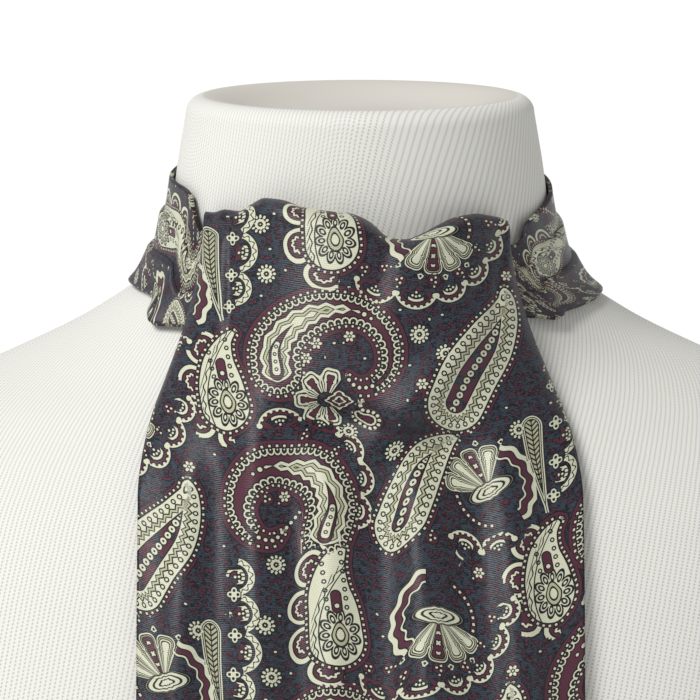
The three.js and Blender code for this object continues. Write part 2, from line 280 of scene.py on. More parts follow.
def cloth_wall(middle: np.ndarray, thickness: np.ndarray, uv: np.ndarray) -> Surface:
    """A closed wall of cloth round a grid of middle points, with a rounded fold along its edge.

    The faces are the middle points moved half a thickness each way along their normals. The edge's own
    points lie between the two faces, moved out along the surface by a share of the thickness.

    Args:
        middle: rows by columns of points.
        thickness: the wall's thickness at each point.
        uv: the cloth's coordinates at each point.

    Returns:
        The closed surface.
    """
    rows, columns = middle.shape[:2]
    reach = grid_normals(middle) * thickness[..., None] / 2
    outer, inner = middle + reach, middle - reach
    top = np.arange(columns)
    right = np.arange(1, rows) * columns + columns - 1
    bottom = (rows - 1) * columns + np.arange(columns - 2, -1, -1)
    left = np.arange(rows - 2, 0, -1) * columns
    loop = np.concatenate([top, right, bottom, left])
    flat = middle.reshape(-1, 3)
    ring = flat[loop]
    along = np.roll(ring, -1, 0) - np.roll(ring, 1, 0)
    outwards = np.cross(along, reach.reshape(-1, 3)[loop])
    outwards /= np.maximum(np.linalg.norm(outwards, axis=1, keepdims=True), 1e-9)
    edge = ring - outwards * FOLD_REACH * thickness.reshape(-1)[loop][:, None]
    count = rows * columns
    edge_at = 2 * count + np.arange(len(loop))
    following = np.roll(edge_at, -1)
    next_loop = np.roll(loop, -1)
    quads = np.concatenate([
        grid_quads(rows, columns),
        grid_quads(rows, columns, count)[:, ::-1],
        np.stack([loop, edge_at, following, next_loop], -1),
        np.stack([edge_at, loop + count, next_loop + count, following], -1),
    ])
    flat_uv = uv.reshape(-1, 2)
    points = np.concatenate([outer.reshape(-1, 3), inner.reshape(-1, 3), edge])
    return Surface(points, quads, np.concatenate([flat_uv, flat_uv, flat_uv[loop]])).faced_out()


def run_lengths(points: np.ndarray, axis: int) -> np.ndarray:
    """The distance run along a grid's lines from their first point, summed step by step.

    Args:
        points: rows by columns of points.
        axis: 0 along the columns, 1 along the rows.

    Returns:
        One distance for each point.
    """
    steps = np.linalg.norm(np.diff(points, axis=axis), axis=-1)
    start = np.zeros_like(np.take(steps, [0], axis=axis))
    return np.concatenate([start, np.cumsum(steps, axis=axis)], axis=axis)


# The bust form.


@dataclass
class BustForm:
    """The headless, limbless form that the cravat rests on: neck to waist, with a dished neck top.

    "sections" gives its level sections: the half width, the reach to the front and to the back, how far
    behind the axis the two halves meet, and their power.
    """

    top: float = 494.0
    rim_radius: float = 6.0
    dish_depth: float = 7.0
    base_edge: float = 5.0
    segments: int = 240
    sections: Table = field(default_factory=lambda: Table(
        "z half_width front back ridge power",
        (0, 154, 101, 86, 0, 2.3),
        (80, 161, 105, 89, 0, 2.3),
        (150, 174, 111, 97, 0, 2.3),
        (210, 188, 116, 104, 1, 2.3),
        (260, 198, 118, 108, 2, 2.3),
        (300, 204, 115, 108, 4, 2.25),
        (335, 205, 108, 104, 6, 2.15),
        (360, 200, 100, 99, 8, 2.0),
        (377, 187, 92.5, 94.5, 10, 1.85),
        (391, 163, 85.5, 90, 11, 1.75),
        (406, 127, 78, 84, 12, 1.7),
        (422, 95, 70.5, 77, 11, 1.75),
        (436, 76.5, 65.5, 71, 8, 1.9),
        (450, 69.5, 63, 66, 4, 2.0),
        (460, 66.9, 62.2, 62.8, 1, 2.0),
        (475, 64.8, 60.8, 60.4, 0, 2.0),
        (494, 61.6, 58.5, 58, 0, 2.0),
    ))

    def front_depth(self, x: np.ndarray, z: np.ndarray, out: np.ndarray | float) -> np.ndarray:
        """The depth of the form's front: a half superellipse in x.

        Args:
            x: the place across.
            z: the height.
            out: how far the section is grown.

        Returns:
            The distance in front of the neck's axis.
        """
        s = self.sections
        power = s.power(z)
        share = np.minimum(np.abs(x) / (s.half_width(z) + out), 0.999) ** power
        return (s.ridge(z) + s.front(z) + out) * (1 - share) ** (1 / power) - s.ridge(z)

    def section_point(
        self, turn: np.ndarray, z: np.ndarray, out: np.ndarray | float,
        level: np.ndarray | None = None, scale: np.ndarray | float = 1.0,
    ) -> np.ndarray:
        """A point of the form's section.

        The section is two half superellipses that meet at the ridge line: x and y are the half widths
        times the sine and cosine of the turn, each raised to 2 / power.

        Args:
            turn: radians round from the front towards the left.
            z: the level whose section it is.
            out: how far the section is grown.
            level: the height the point is put at, if not z.
            scale: shrinks the section towards the axis.

        Returns:
            Points along the last axis.
        """
        s = self.sections
        power = s.power(z)
        ahead = np.cos(turn)
        ridge = s.ridge(z)
        reach = np.where(ahead > 0, ridge + s.front(z), s.back(z) - ridge) + out
        x = -(s.half_width(z) + out) * power_of(np.sin(turn), 2 / power) * scale
        y = ridge - reach * power_of(ahead, 2 / power) * scale
        return np.stack(np.broadcast_arrays(x, y, z if level is None else level), -1)

    def surface(self) -> Surface:
        """Lofts the underside, the sections, the rounded rim and the dish, with a pole at each end.

        Returns:
            The closed surface. Its coordinates are the distance round from the middle of the front, and
            the distance run up the side.
        """
        steps = (5, 330, 6.0), (330, 440, 2.5), (440, self.top, 3.0)
        body = np.concatenate([np.arange(*step) for step in steps])
        lean = np.radians(np.arange(0, 91, 11.25))
        inward = np.array([0.985, 0.965, 0.94, 0.91, 0.87, 0.82, 0.76, 0.68, 0.55, 0.4, 0.25, 0.1])
        sunk = self.dish_depth * (1 - smooth_step(0.5, 1, inward))
        edge = self.base_edge
        under = np.array([0.15, 0.5, 0.8, 1.0])
        foot_lean = np.radians([30, 60])
        z = np.concatenate([0 * under, 0 * foot_lean, body, np.full(len(lean) + len(inward), self.top)])
        out = np.concatenate([
            0 * under - edge, -edge * (1 - np.sin(foot_lean)), 0 * body,
            -self.rim_radius * (1 - np.cos(lean)), 0 * inward - self.rim_radius,
        ])
        level = np.concatenate([
            0 * under, edge * (1 - np.cos(foot_lean)), body,
            self.top + self.rim_radius * np.sin(lean), self.top + self.rim_radius - sunk,
        ])
        scale = np.concatenate([under, np.ones(len(foot_lean) + len(body) + len(lean)), inward])
        turn = np.linspace(0, 2 * np.pi, self.segments, endpoint=False)
        points = self.section_point(turn[None], z[:, None], out[:, None], level[:, None], scale[:, None])
        around = run_lengths(np.concatenate([points, points[:, :1]], 1), 1)
        side = np.where(around > around[:, -1:] / 2, around - around[:, -1:], around)[:, :-1]
        uv = np.stack([-side, run_lengths(points, 0)], -1).reshape(-1, 2)
        rows, n = len(z), self.segments
        poles = points[[0, -1]].mean(1)
        rim = np.arange(n)
        last = (rows - 1) * n + rim
        fans = np.concatenate([
            np.stack([np.full(n, rows * n), (rim + 1) % n, rim], -1),
            np.stack([last, (rows - 1) * n + (rim + 1) % n, np.full(n, rows * n + 1)], -1),
        ])
        row = np.concatenate([np.repeat(np.arange(rows), n), [0, rows]])
        return Surface(
            np.concatenate([points.reshape(-1, 3), poles]),
            grid_quads(rows, n, closed=True),
            np.concatenate([uv, [[0, 0], [0, 0]]]),
            fans,
            (row < len(under)) | (row >= rows - len(inward) - 1),
        ).faced_out()


# The silk's pieces.


class Fold:
    """One fold: a bell across its line that fades out towards both its ends."""

    def __init__(self, x0: float, z0: float, x1: float, z1: float, height: float, width: float) -> None:
        """Notes the fold's line.

        Args:
            x0: where the line starts, across.
            z0: the height there.
            x1: where it ends, across.
            z1: the height there.
            height: how far the fold stands out, negative for a trough.
            width: half the width of the bell where it has fallen to e to minus 1.
        """
        self.x0, self.z0, self.height, self.width = x0, z0, height, width
        self.dx, self.dz = x1 - x0, z1 - z0
        self.length = math.hypot(self.dx, self.dz)

    def relief(self, x: np.ndarray, z: np.ndarray) -> np.ndarray:
        """The height times e to minus the squares of the shares of the width across and beyond the line.

        Args:
            x: the place across.
            z: the height.

        Returns:
            How far the fold stands out there.
        """
        along = ((x - self.x0) * self.dx + (z - self.z0) * self.dz) / self.length**2
        across = ((x - self.x0) * self.dz - (z - self.z0) * self.dx) / self.length / self.width
        beyond = np.maximum(np.maximum(-along, along - 1), 0) * self.length / (2 * self.width)
        return self.height * np.exp(-(across**2) - beyond**2)


@dataclass
class FrontBlade:
    """The wide end of the cravat: up behind the knot, over it in a soft roll, and down in a point.

    "crest" is its top edge as seen. "puff" gives the depth in front of the knot and how far that falls by
    "puff_half" to the side, and "widths" the half width that shows, half the cloth's own width, and the
    radius that the rest curls back round. Its folds' ridges carry on over the chest below "ridge_levels",
    its middle comes in to the form's between the two "centring_levels", and its sides are fully curled
    "curl_drop" below the crest.
    """

    form: BustForm
    middle_x: float = -1.5
    crest_half: float = 51.5
    crest_rise: float = 7.0
    squareness: float = 0.75
    puff_power: float = 2.3
    puff_half: float = 50.0
    tip: float = 175.0
    point: float = 70.0
    lift: float = 3.8
    rounding: float = 4.0
    ridge_levels: tuple[float, float] = (385.0, 365.0)
    centring_levels: tuple[float, float] = (360.0, 450.0)
    curl_drop: float = 22.0
    start: float = 441.3
    start_half: float = 21.0
    start_gap: float = 0.1
    print_top: float = 470.0
    columns: int = 132
    rows_back: int = 20
    rows_roll: int = 22
    rows_front: int = 258
    crest: Table = field(default_factory=lambda: Table(
        "x z", (-54, 463.6), (-49.5, 463.8), (-45.5, 465.4), (-41, 465.3), (-37, 468), (-32, 470.8),
        (-27, 470.6), (-19, 468.4), (-10, 467.5), (-4.5, 467), (0.5, 465.3), (4, 463), (7.6, 459.4),
        (11, 458.1), (15, 457.9), (20, 459.4), (26, 462.2), (32, 464.4), (38, 464.9), (44, 463.4),
        (51, 460.5),
    ))
    puff: Table = field(default_factory=lambda: Table(
        "z depth fall", (175, 60, 0), (340, 96, 3), (370, 99.5, 5), (385, 98.5, 7), (400, 97, 11),
        (415, 95, 17), (430, 92, 23), (445, 88.5, 28), (460, 84, 30.5), (475, 78, 30.5),
    ))
    widths: Table = field(default_factory=lambda: Table(
        "z shown cloth curl", (175, 96, 75, 10), (350, 92, 75, 10), (372, 82, 75, 8), (390, 74, 73, 6.5),
        (410, 65, 69, 5.5), (430, 57.5, 62.5, 4.5), (448, 53, 56, 3.5), (462, 51.5, 52.5, 3),
    ))
    folds: tuple[Fold, ...] = (
        Fold(-40.6, 470, -50, 458, -2.6, 2.4),
        Fold(-43, 461, -43.5, 432, -3, 3.6),
        Fold(-48, 458, -47.5, 434, 1.2, 2.4),
        Fold(10, 460, 5, 445, -3, 6),
        Fold(49, 460, 45, 432, -1.6, 2.2),
        Fold(48, 461, 37, 436, -1.1, 2.4),
        Fold(31, 421, 9, 397.5, 4.6, 7.5),
        Fold(26, 391.5, -12, 401, -6.5, 6.5),
        Fold(-22, 395, -6, 364, 1.8, 8),
        Fold(-58, 376, -64, 262, 4.2, 7),
        Fold(-36, 388, -31, 238, 6.2, 9),
        Fold(-11, 372, -7, 222, 4.4, 7.5),
        Fold(20, 368, 29, 222, 6.4, 9.5),
        Fold(49, 380, 59, 258, 4.6, 7.5),
    )

    def relief(self, x: np.ndarray, z: np.ndarray) -> np.ndarray:
        """The sum of the folds at each place."""
        return sum(fold.relief(x, z) for fold in self.folds)

    def depth(self, x: np.ndarray, z: np.ndarray) -> np.ndarray:
        """The middle surface's depth: the puff over the knot with its folds, or the chest with its lift.

        Args:
            x: the place across.
            z: the height.

        Returns:
            The larger of the two, with the corner between them rounded.
        """
        folds = self.relief(x, z)
        fall = self.puff.fall(z) * np.abs(x / self.puff_half) ** self.puff_power
        hanging = self.puff.depth(z) - fall + folds
        ridges = np.maximum(folds, 0) * smooth_step(*self.ridge_levels, z)
        return soft_max(hanging, self.form.front_depth(x, z, self.lift) + ridges, self.rounding)

    def hanging_point(self, u: np.ndarray, z: np.ndarray, crest: np.ndarray) -> np.ndarray:
        """A point that hangs in front.

        Cloth wider than what shows turns back under round the curl: the place across the cloth past the
        straight part becomes an angle on the curl's radius.

        Args:
            u: the place across the cloth, -1 to 1.
            z: the height.
            crest: the height of that column's crest.

        Returns:
            Points along the last axis.
        """
        place = u * self.widths.cloth(z)
        radius = self.widths.curl(z)
        straight = self.widths.shown(z) - radius
        turn = np.minimum(np.maximum(np.abs(place) - straight, 0) / radius, np.pi)
        flat = np.minimum(np.abs(place), straight) + radius * np.sin(turn)
        x = self.middle_x * smooth_step(*self.centring_levels, z) + np.sign(u) * flat
        back = radius * (1 - np.cos(turn)) * smooth_step(0, 1, (crest - z) / self.curl_drop)
        return np.stack([x, back - self.depth(x, z), z + 0 * x], -1)

    def middle_surface(self) -> tuple[np.ndarray, np.ndarray]:
        """The grid of middle points, and the height of each column's crest.

        Returns:
            Rows by columns of points, from the start behind the knot to the point, and the crest heights.
        """
        u = np.linspace(-1, 1, self.columns + 1)[None]
        crest_x = self.middle_x + u * self.crest_half
        crest = self.crest.z(crest_x)
        low = crest - self.crest_rise
        rising = np.linspace(0, 1, self.rows_back + 1)[:, None]
        z = self.start + (low - self.start) * rising
        x = self.middle_x + u * (self.start_half + (self.crest_half - self.start_half) * rising)
        behind = np.stack([x, -self.form.front_depth(x, z, GAP + PLY / 2 + self.start_gap), z], -1)
        angle = np.pi * np.linspace(0, 1, self.rows_roll + 1)[1:-1, None, None]
        back_end = behind[-1:]
        front_end = self.hanging_point(u, low, crest)
        rolled = back_end + (front_end - back_end) * (1 - np.cos(angle)) / 2
        rolled[..., 2] = low + self.crest_rise * np.sin(angle[..., 0]) ** self.squareness
        share = np.linspace(0, 1, self.rows_front + 1)[:, None]
        end = self.tip + self.point * np.abs(u)
        across = np.broadcast_to(u, (len(share), u.shape[1]))
        front = self.hanging_point(across, low - (low - end) * share, crest)
        return np.concatenate([behind, rolled, front]), crest

    def surface(self) -> Surface:
        """Makes the wall.

        Returns:
            The closed surface, with the cloth's width and its length from the crest as coordinates.
        """
        middle, crest = self.middle_surface()
        u = np.linspace(-1, 1, self.columns + 1)[None]
        run = run_lengths(middle, 0)
        top = self.rows_back + self.rows_roll // 2
        along = run - run[top : top + 1] + self.print_top - crest
        across = u * self.widths.cloth(middle[..., 2]) + self.middle_x
        behind = np.arange(len(middle))[:, None] < top
        across = np.where(behind, middle[..., 0], across)
        uv = np.stack([across, along], -1)
        return cloth_wall(middle, np.full(middle.shape[:2], PLY), uv)


@dataclass
class NeckBand:
    """The pleated stretch of silk round the neck.

    Its stations are degrees round from the front towards the left. "flare" is how far its lower edge
    stands off more than its top edge, and "step" how far each pleat's folded edge stands out.
    """

    form: BustForm
    flare: float = 0.6
    step: float = 1.5
    sharpness: float = 0.05
    easing: float = 0.8
    pleats: tuple[float, ...] = (0.36, 0.7)
    last_edge: float = 1.05
    plain_turns: tuple[float, float] = (62.0, 298.0)
    fine_step: float = 0.35
    rows: int = 36
    print_gather: float = 1.9
    print_stretch: float = 1.25
    print_start: tuple[float, float] = (-30.0, 20.0)
    stations: Table = field(default_factory=lambda: Table(
        "turn top tall off", (27.5, 457, 29, 2.8), (40, 457.4, 32, 2.8), (50, 457.2, 33, 2.9),
        (55.5, 463, 36, 2.7), (60, 468.6, 37, 1.7), (68, 470.4, 38, GAP), (90, 471.6, 39, GAP),
        (130, 475.5, 40, GAP), (180, 476.5, 40, GAP), (230, 473.5, 40, GAP), (270, 467.6, 38, GAP),
        (292, 462.6, 34, GAP), (305, 459.3, 31, 2.5), (310.5, 453.4, 27, 2.9), (320, 452.5, 24, 2.8),
        (333.5, 453, 24, 2.8),
    ))

    def pleat_relief(self, share: np.ndarray) -> np.ndarray:
        """How far the pleats stand out: each steps out at its folded edge and eases back before the next.

        Args:
            share: the share of the band's height, from its top edge down.

        Returns:
            The distance added to the band's outside.
        """
        edges = (*self.pleats, self.last_edge)
        relief = 0.0
        for edge, following in zip(edges, edges[1:]):
            stepped = smooth_step(edge - self.sharpness, edge, share)
            relief = relief + self.step * stepped * (1 - self.easing * smooth_step(edge, following, share))
        return relief

    def surface(self) -> Surface:
        """Makes the wall, with fine steps by its front ends and by each pleat's folded edge.

        Returns:
            The closed surface, with the cloth's coordinates turned so that its length runs round the neck.
        """
        st = self.stations
        left, right = self.plain_turns
        steps = (st.start, left, self.fine_step), (left, right, 1.0), (right, st.end + 0.1, self.fine_step)
        turn = np.concatenate([np.arange(*step) for step in steps])[:, None]
        close = [np.linspace(edge - 0.06, edge + 0.01, 8) for edge in self.pleats]
        share = np.unique(np.concatenate([np.linspace(0, 1, self.rows), *close]))[None]
        z = st.top(turn) - st.tall(turn) * share
        off = st.off(turn) + self.flare * share
        inside = self.form.section_point(np.radians(turn), z, off)
        outside = self.form.section_point(np.radians(turn), z, off + PLY + self.pleat_relief(share))
        middle = (inside + outside) / 2
        thickness = np.linalg.norm(outside - inside, axis=-1)
        gathers = 1 + self.print_gather * (smooth_step(60, 50, turn) + smooth_step(300, 312, turn))
        along = np.cumsum(np.diff(run_lengths(middle, 0), axis=0, prepend=0) * gathers, axis=0)
        across = run_lengths(middle, 1) * self.print_stretch
        uv = np.stack([across + self.print_start[0], along + self.print_start[1]], -1)
        return cloth_wall(middle, thickness, uv)


@dataclass
class Ribbon:
    """A stretch of silk that follows a path over the form's front, ending square or in a point."""

    form: BustForm
    path: Table
    rows: int
    columns: int
    tip: float | None = None

    def surface(self) -> Surface:
        """Makes the wall: at each station the width is laid off along its own direction.

        Where a tip is given, the last station's columns run on down to a V.

        Returns:
            The closed surface, with the distances run across and along it as coordinates.
        """
        p = self.path
        at = np.linspace(p.start, p.end, self.rows + 1)[:, None]
        k = np.linspace(-1, 1, self.columns + 1)[None]
        angle = np.radians(p.across(at))
        x = p.x(at) + k * p.half(at) * np.cos(angle)
        z = p.z(at) + k * p.half(at) * np.sin(angle)
        off = p.off(at) + 0 * x
        thick = p.thick(at) + 0 * x
        if self.tip is not None:
            share = np.linspace(0, 1, self.rows // 3)[1:, None]
            last_x, last_z = x[-1:], z[-1:]
            end = last_z - (last_z - self.tip) * (1 - np.abs(k))
            x = np.concatenate([x, last_x + 0 * share])
            z = np.concatenate([z, last_z + (end - last_z) * share - 0.5 * share])
            off = np.concatenate([off, off[-1:] + 0 * share])
            thick = np.concatenate([thick, thick[-1:] + 0 * share])
        middle = np.stack([x, -self.form.front_depth(x, z, off), z], -1)
        return cloth_wall(middle, thick, np.stack([run_lengths(middle, 1), run_lengths(middle, 0)], -1))


# The paths of the two hidden stretches, station by station: the middle, the direction of the width in
# degrees, half the width, how far the middle lies off the form, and the thickness.
KNOT_WRAP_PATH = Table(
    "at x z across half off thick",
    (0, -29.6, 445.5, 90, 14.5, 4.1, PLEATED),
    (1, -22, 445, 87, 14.8, 6.6, PLEATED),
    (2, -8, 441, 74, 15, 9, PLEATED),
    (3, 6, 433, 48, 15, 9.6, PLEATED),
    (4, 16.5, 423.3, 14, 14, 8.8, PLEATED),
    (5, 19, 418.2, 2, 13.5, 5.4, PLEATED),
    (6, 19, 420.5, 0, 13.5, 2, 1.6),
    (7, 13, 430, 0, 15, 1.4, PLY),
    (8, 6, 440.8, 0, 20, 1.4, PLY),
)
UNDER_BLADE_PATH = Table(
    "at x z across half off thick",
    (0, 28, 442.8, 90, 11.5, 4.2, PLEATED),
    (1, 14, 439.6, 97, 11, 4.6, PLEATED),
    (2, 0, 435, 118, 12.5, 4.6, PLEATED),
    (3, -11, 425, 148, 13, 3, PLEATED),
    (4, -16, 411, 172, 16, 2.4, 2),
    (5, -15, 396, 180, 23, 2, PLY),
    (6, -12, 378, 180, 37, 1.4, PLY),
    (7, -8, 355, 180, 53, 1.5, PLY),
    (8, -5, 330, 180, 64, 1.5, PLY),
    (9, -4, 305, 180, 69, 1.5, PLY),
    (10, -4, 285, 180, 70, 1.5, PLY),
)


# The paisley print.


class Motif(Enum):
    """The print's ornaments. Each has its own formulas."""

    LACE_BOTEH = 1
    FLORAL_BOTEH = 2
    LEAF_BOTEH = 3
    COMMA = 4
    ROSETTE = 5
    FLOWER = 6
    PALMETTE = 7
    CRESCENT = 8
    SCALLOP = 9
    SPRIG = 10
    DOT = 11
    DAISY = 12
    TREFOIL = 13
    FEATHER = 14


# Each ornament's cream, wine and beige shapes as distances in millimetres, positive inside. On a boteh,
# "along" runs round its outline, "inside" is how far inside it a place lies, and x and y are along and
# across its spine, or across and up from the middle of a floral one's head. On an arc, "along" runs along
# it from the crown, "inside" is how far inside it, and x and y start at the crown. Round ornaments have x,
# y, r and angle from their middle. "size" is the radius. wrap() folds a value into plus or minus its limit.
# A colour that an ornament leaves out is NOWHERE in it.
NOWHERE = -9.0
MOTIF_FORMULAS: dict[Motif, str] = {
    Motif.LACE_BOTEH: """
squares = 0.37 - max(abs(wrap(along, 1.2)), abs(inside + 1))
loop = hypot(wrap(along, 1.2), 0.85 * (inside - 0.5))
lace = max(min(0.2 - abs(loop - 1.12), inside + 0.15), 0.26 - hypot(wrap(along, 1.2), inside - 0.2))
leaf = 4.1 - 0.0029 * max(x, 0) * max(x, 0) - hypot(min(x, 0), y) + 0.42 * abs(wrap(x + 9, 2.6))
pocket = 2.4 - 0.16 * max(x - 3, 0) - hypot(min(x + 1.5, 0), y)
bead = 1.3 - 0.06 * max(x, 0) - hypot(max(abs(x - 4) - 4.8, 0), y)
beads = min(bead, max(abs(hypot(wrap(x, 1.3), y) - 0.5) - 0.2, x - 9))
stripes = min(leaf, abs(leaf - 1.2) - 0.19, abs(leaf - 2.3) - 0.17, 0 - pocket)
tail = min(0.6 - hypot(wrap(x, 1.1), y), 8.4 - 4 * size)
pearls = max(0.75 - hypot(x - 42.5, y), 0.5 - hypot(x - 45.3, y), tail)
cream = max(squares, min(lace, size - 0.9 - inside, 4 * size - 8.4), stripes, beads, pearls)
wine = inside + 2.8
beige = min(leaf - 1.2, 2.3 - leaf)
""",
    Motif.FLORAL_BOTEH: """
over = x + 1.2
up = y - 1.5
far = hypot(over, 0.8 * up)
turn = wrap(atan2(0.8 * up, over), pi / 11)
petal = hypot((far * cos(turn) - 4.5) / 1.7, far * sin(turn))
drop = hypot(over * (1 + 0.13 * max(up, 0)), 0.66 * up)
edge = x - 5.6 + 0.02 * y * y
waves = edge - 1.35 + 0.4 * sin(1.4 * y)
strip = min(abs(edge) - 0.24, abs(waves) - 0.24, max(abs(wrap(y + 2 * x, 1.1)) - 0.3, abs(edge - 2.3) - 0.5))
rings = max(abs(hypot(wrap(y - 10.4, 1.5), abs(over) - 3.1) - 0.6) - 0.24, 8.9 - y)
pocket = 1.8 - hypot(max(abs(y - 12.4) - 2.2, 0), over)
veins = max(abs(petal - 0.56) - 0.22, 3.2 - far)
lines = min(veins, max(abs(petal - 1.28) - 0.25, 4 - far), abs(drop - 2.7) - 0.25)
body = min(inside, lines, abs(drop - 1.45) - 0.24, strip, rings, 0 - pocket)
scallop = hypot(wrap(along, 6), inside + 2)
crest = min(0.62 - abs(scallop - 4.9), -1.7 - inside, x + 1)
ripple = 0.25 * sin(10 * atan2(inside + 2, wrap(along, 6)))
steps = min(0.34 - abs(scallop - 2.4 - ripple), -2.3 - inside, x + 1)
squares = 0.36 - max(abs(wrap(along, 1)), abs(inside + 1))
cream = max(body, squares, crest, steps, 0.7 - hypot(over, y - 11))
wine = max(inside + 2.6, min(4.1 - scallop, x + 1))
beige = min(drop - 1.5, 2.7 - drop)
""",
    Motif.LEAF_BOTEH: """
depth = size - hypot(min(x, 0), y)
rings = abs(hypot(wrap(along, 1.5), inside - 1.6) - 0.7) - 0.24
wave = 0.8 * (abs(wrap(along, 1.5)) - 0.75)
zigzag = min(abs(inside - 3.3 - wave) - 0.3, abs(inside - 4.6 - wave) - 0.24)
pocket = depth - 5.8
beads = min(pocket - 0.6, hypot(wrap(x, 1.4), y) - 0.4, 1.1 - hypot(wrap(x, 1.4), y))
squares = 0.34 - max(abs(wrap(along, 1)), abs(inside + 0.95))
cream = max(squares, min(inside, rings, zigzag, 0 - pocket), beads)
wine = min(inside + 2.3, 9 * abs(wrap(along, 6)) - 18)
beige = min(inside - 3.3 - wave, 4.6 - inside + wave)
""",
    Motif.FEATHER: """
depth = size - hypot(min(x, 0), y)
barbs = min(abs(wrap(x + 0.9 * abs(y), 0.85)) - 0.34, abs(y) - 0.2)
inner = min(abs(depth - 0.6) - 0.18, max(1.2 - depth, barbs), abs(depth - 1.25) - 0.2)
cream = min(depth, inner)
beige = depth - 1.25
""",
    Motif.COMMA: """
beads = max(0.62 - hypot(wrap(along, 1), inside - 0.2), min(0.3 - abs(inside - 1.5), size - 2.2))
cream = min(beads, 0.8 * size - inside)
wine = inside + 1
""",
    Motif.ROSETTE: """
bead = hypot((r - 2.7) / 1.3, r * wrap(angle, pi / 12))
cream = max(0.42 - bead, 0.46 - abs(r - 1.42 - 0.14 * sin(angle * 10)), 0.26 - r)
""",
    Motif.FLOWER: """
turn = wrap(angle - pi, pi / 7)
run = r * cos(turn)
wide = r * sin(turn)
ripple = 0.2 * cos(8 * atan2(wide, max(run - 5.6, 0)))
petal = hypot(max(run - 7.6, 0), 7.6 * wide / max(min(run, 7.6), 2.5)) + ripple
fan = 4 * (abs(angle) - 0.95)
gem = 4.3 - abs(y) - 0.75 * abs(x - 4.4)
weave = min(0.3 - abs(wrap(gem - 0.9 + 0.2 * sin(4 * y), 0.95)), gem + 0.1)
cream = max(min(3.5 - petal, abs(petal - 2.5) - 0.26, petal - 1.4, fan, run - 3), weave)
wine = max(min(1.3 - petal, fan, run - 4), gem)
""",
    Motif.PALMETTE: """
down = y - 0.6
turn = wrap(atan2(down, x) - pi / 2, pi / 12)
run = hypot(x, down) * cos(turn)
wide = hypot(x, down) * sin(turn)
ripple = 0.22 * cos(7 * atan2(wide, max(run - 9, 0)))
petal = hypot(max(run - 12, 0), 12 * wide / max(min(run, 12), 2)) + ripple
fan = down - 0.27 * max(x, 0) + 0.95 * min(x, 0)
middle = 0.27 * down - abs(x)
oval = hypot(x / 2.5, 1.1 * y) + 0.14 * sin(7 * angle)
lines = min(abs(petal - 2.6) - 0.2, max(min(abs(petal - 1.95) - 0.17, abs(petal - 1.2) - 0.19), middle))
tilt = wrap(y - 9.2, 1.8)
stars = 0.7 - hypot(x, tilt) - 0.22 * cos(4 * atan2(tilt, x))
petals = min(3.2 - petal, lines, fan, oval - 3.4, max(0 - middle, petal - 2.2))
bud = 0.3 - abs(abs(run - 15.6) + abs(4.2 - abs(wide)) - 0.9)
ripple = 0.5 * sin(angle * 15)
left = min(0 - 4 - x, 0.4 - fan)
right = min(x - 4, 7 - y)
ladder = min(0.42 - max(abs(wrap(12 * angle, 1.1)), abs(r - 12)), right)
ribbon = min(max(0.85 - abs(r - 15 - ripple), 0.3 - abs(r - 11.2 - ripple)), left)
cap = min(3.2 - oval, max(abs(wrap(oval, 0.5)) - 0.19, 0.5 - oval))
star = min(stars, middle - 0.2, y - 5.4, 13 - y)
cream = max(petals, cap, ribbon, ladder, min(bud, fan), star)
band = max(min(1.7 - abs(r - 13 - ripple), left), min(0.9 - abs(r - 12), right))
wine = max(min(2.2 - petal, middle, down - 2), band)
beige = min(petal - 1.95, 2.6 - petal, fan)
""",
    Motif.CRESCENT: """
ends = size + 0.4 - abs(along)
teeth = min(0.62 - hypot(wrap(along, 1.15), inside - 0.35), inside, ends)
bowl = min(0.38 - abs(inside - 2.7), 2.5 - abs(x))
dots = max(0.4 - hypot(x, y - 5.5), 0.4 - hypot(abs(x) - 1.15, y - 4.4), 0.38 - hypot(x, y - 4.1))
cream = max(min(0.28 - abs(inside), ends), teeth, bowl, dots, 0.95 - hypot(abs(along) - size, inside - 0.3))
wine = min(inside, max(1.8 - inside, 4.2 - r, r - 6.3 - 0.4 * sin(2 * x)), 6.8 - inside, ends)
""",
    Motif.SCALLOP: """
ends = size + 0.3 - abs(along)
band = min(1 - abs(inside - 1), abs(inside - 1 - 0.5 * sin(along * 2)) - 0.22)
rungs = min(0.5 - abs(inside - 3.6), 2.6 - abs(x), abs(wrap(x, 0.65)) - 0.22)
dots = max(0.4 - hypot(wrap(x, 0.7), y - 5.1) - 9 * max(abs(x) - 1.8, 0), 0.45 - hypot(x, y - 6.4))
cream = max(min(band, ends), rungs, dots)
wine = min(7.6 - y, y - 3.4, 3 - abs(x))
""",
    Motif.SPRIG: """
cream = max(0.4 - hypot(r - 0.95, r * wrap(angle, pi / 3)), 0.34 - hypot(x, y + 2.3))
wine = 2 - r
""",
    Motif.DOT: """
cream = 0.5 - hypot(x, 1.4 * y)
""",
    Motif.DAISY: """
cream = max(0.48 - hypot((r - 1.3) / 1.3, r * wrap(angle, pi / 6)), 0.32 - r, 0.34 - hypot(x + 2, y - 2.2))
wine = 2.5 - hypot(x, 0.8 * y)
""",
    Motif.TREFOIL: """
cream = max(0.27 - abs(hypot(r - 1.35, r * wrap(angle, pi / 4)) - 0.8), 0.36 - r)
""",
}


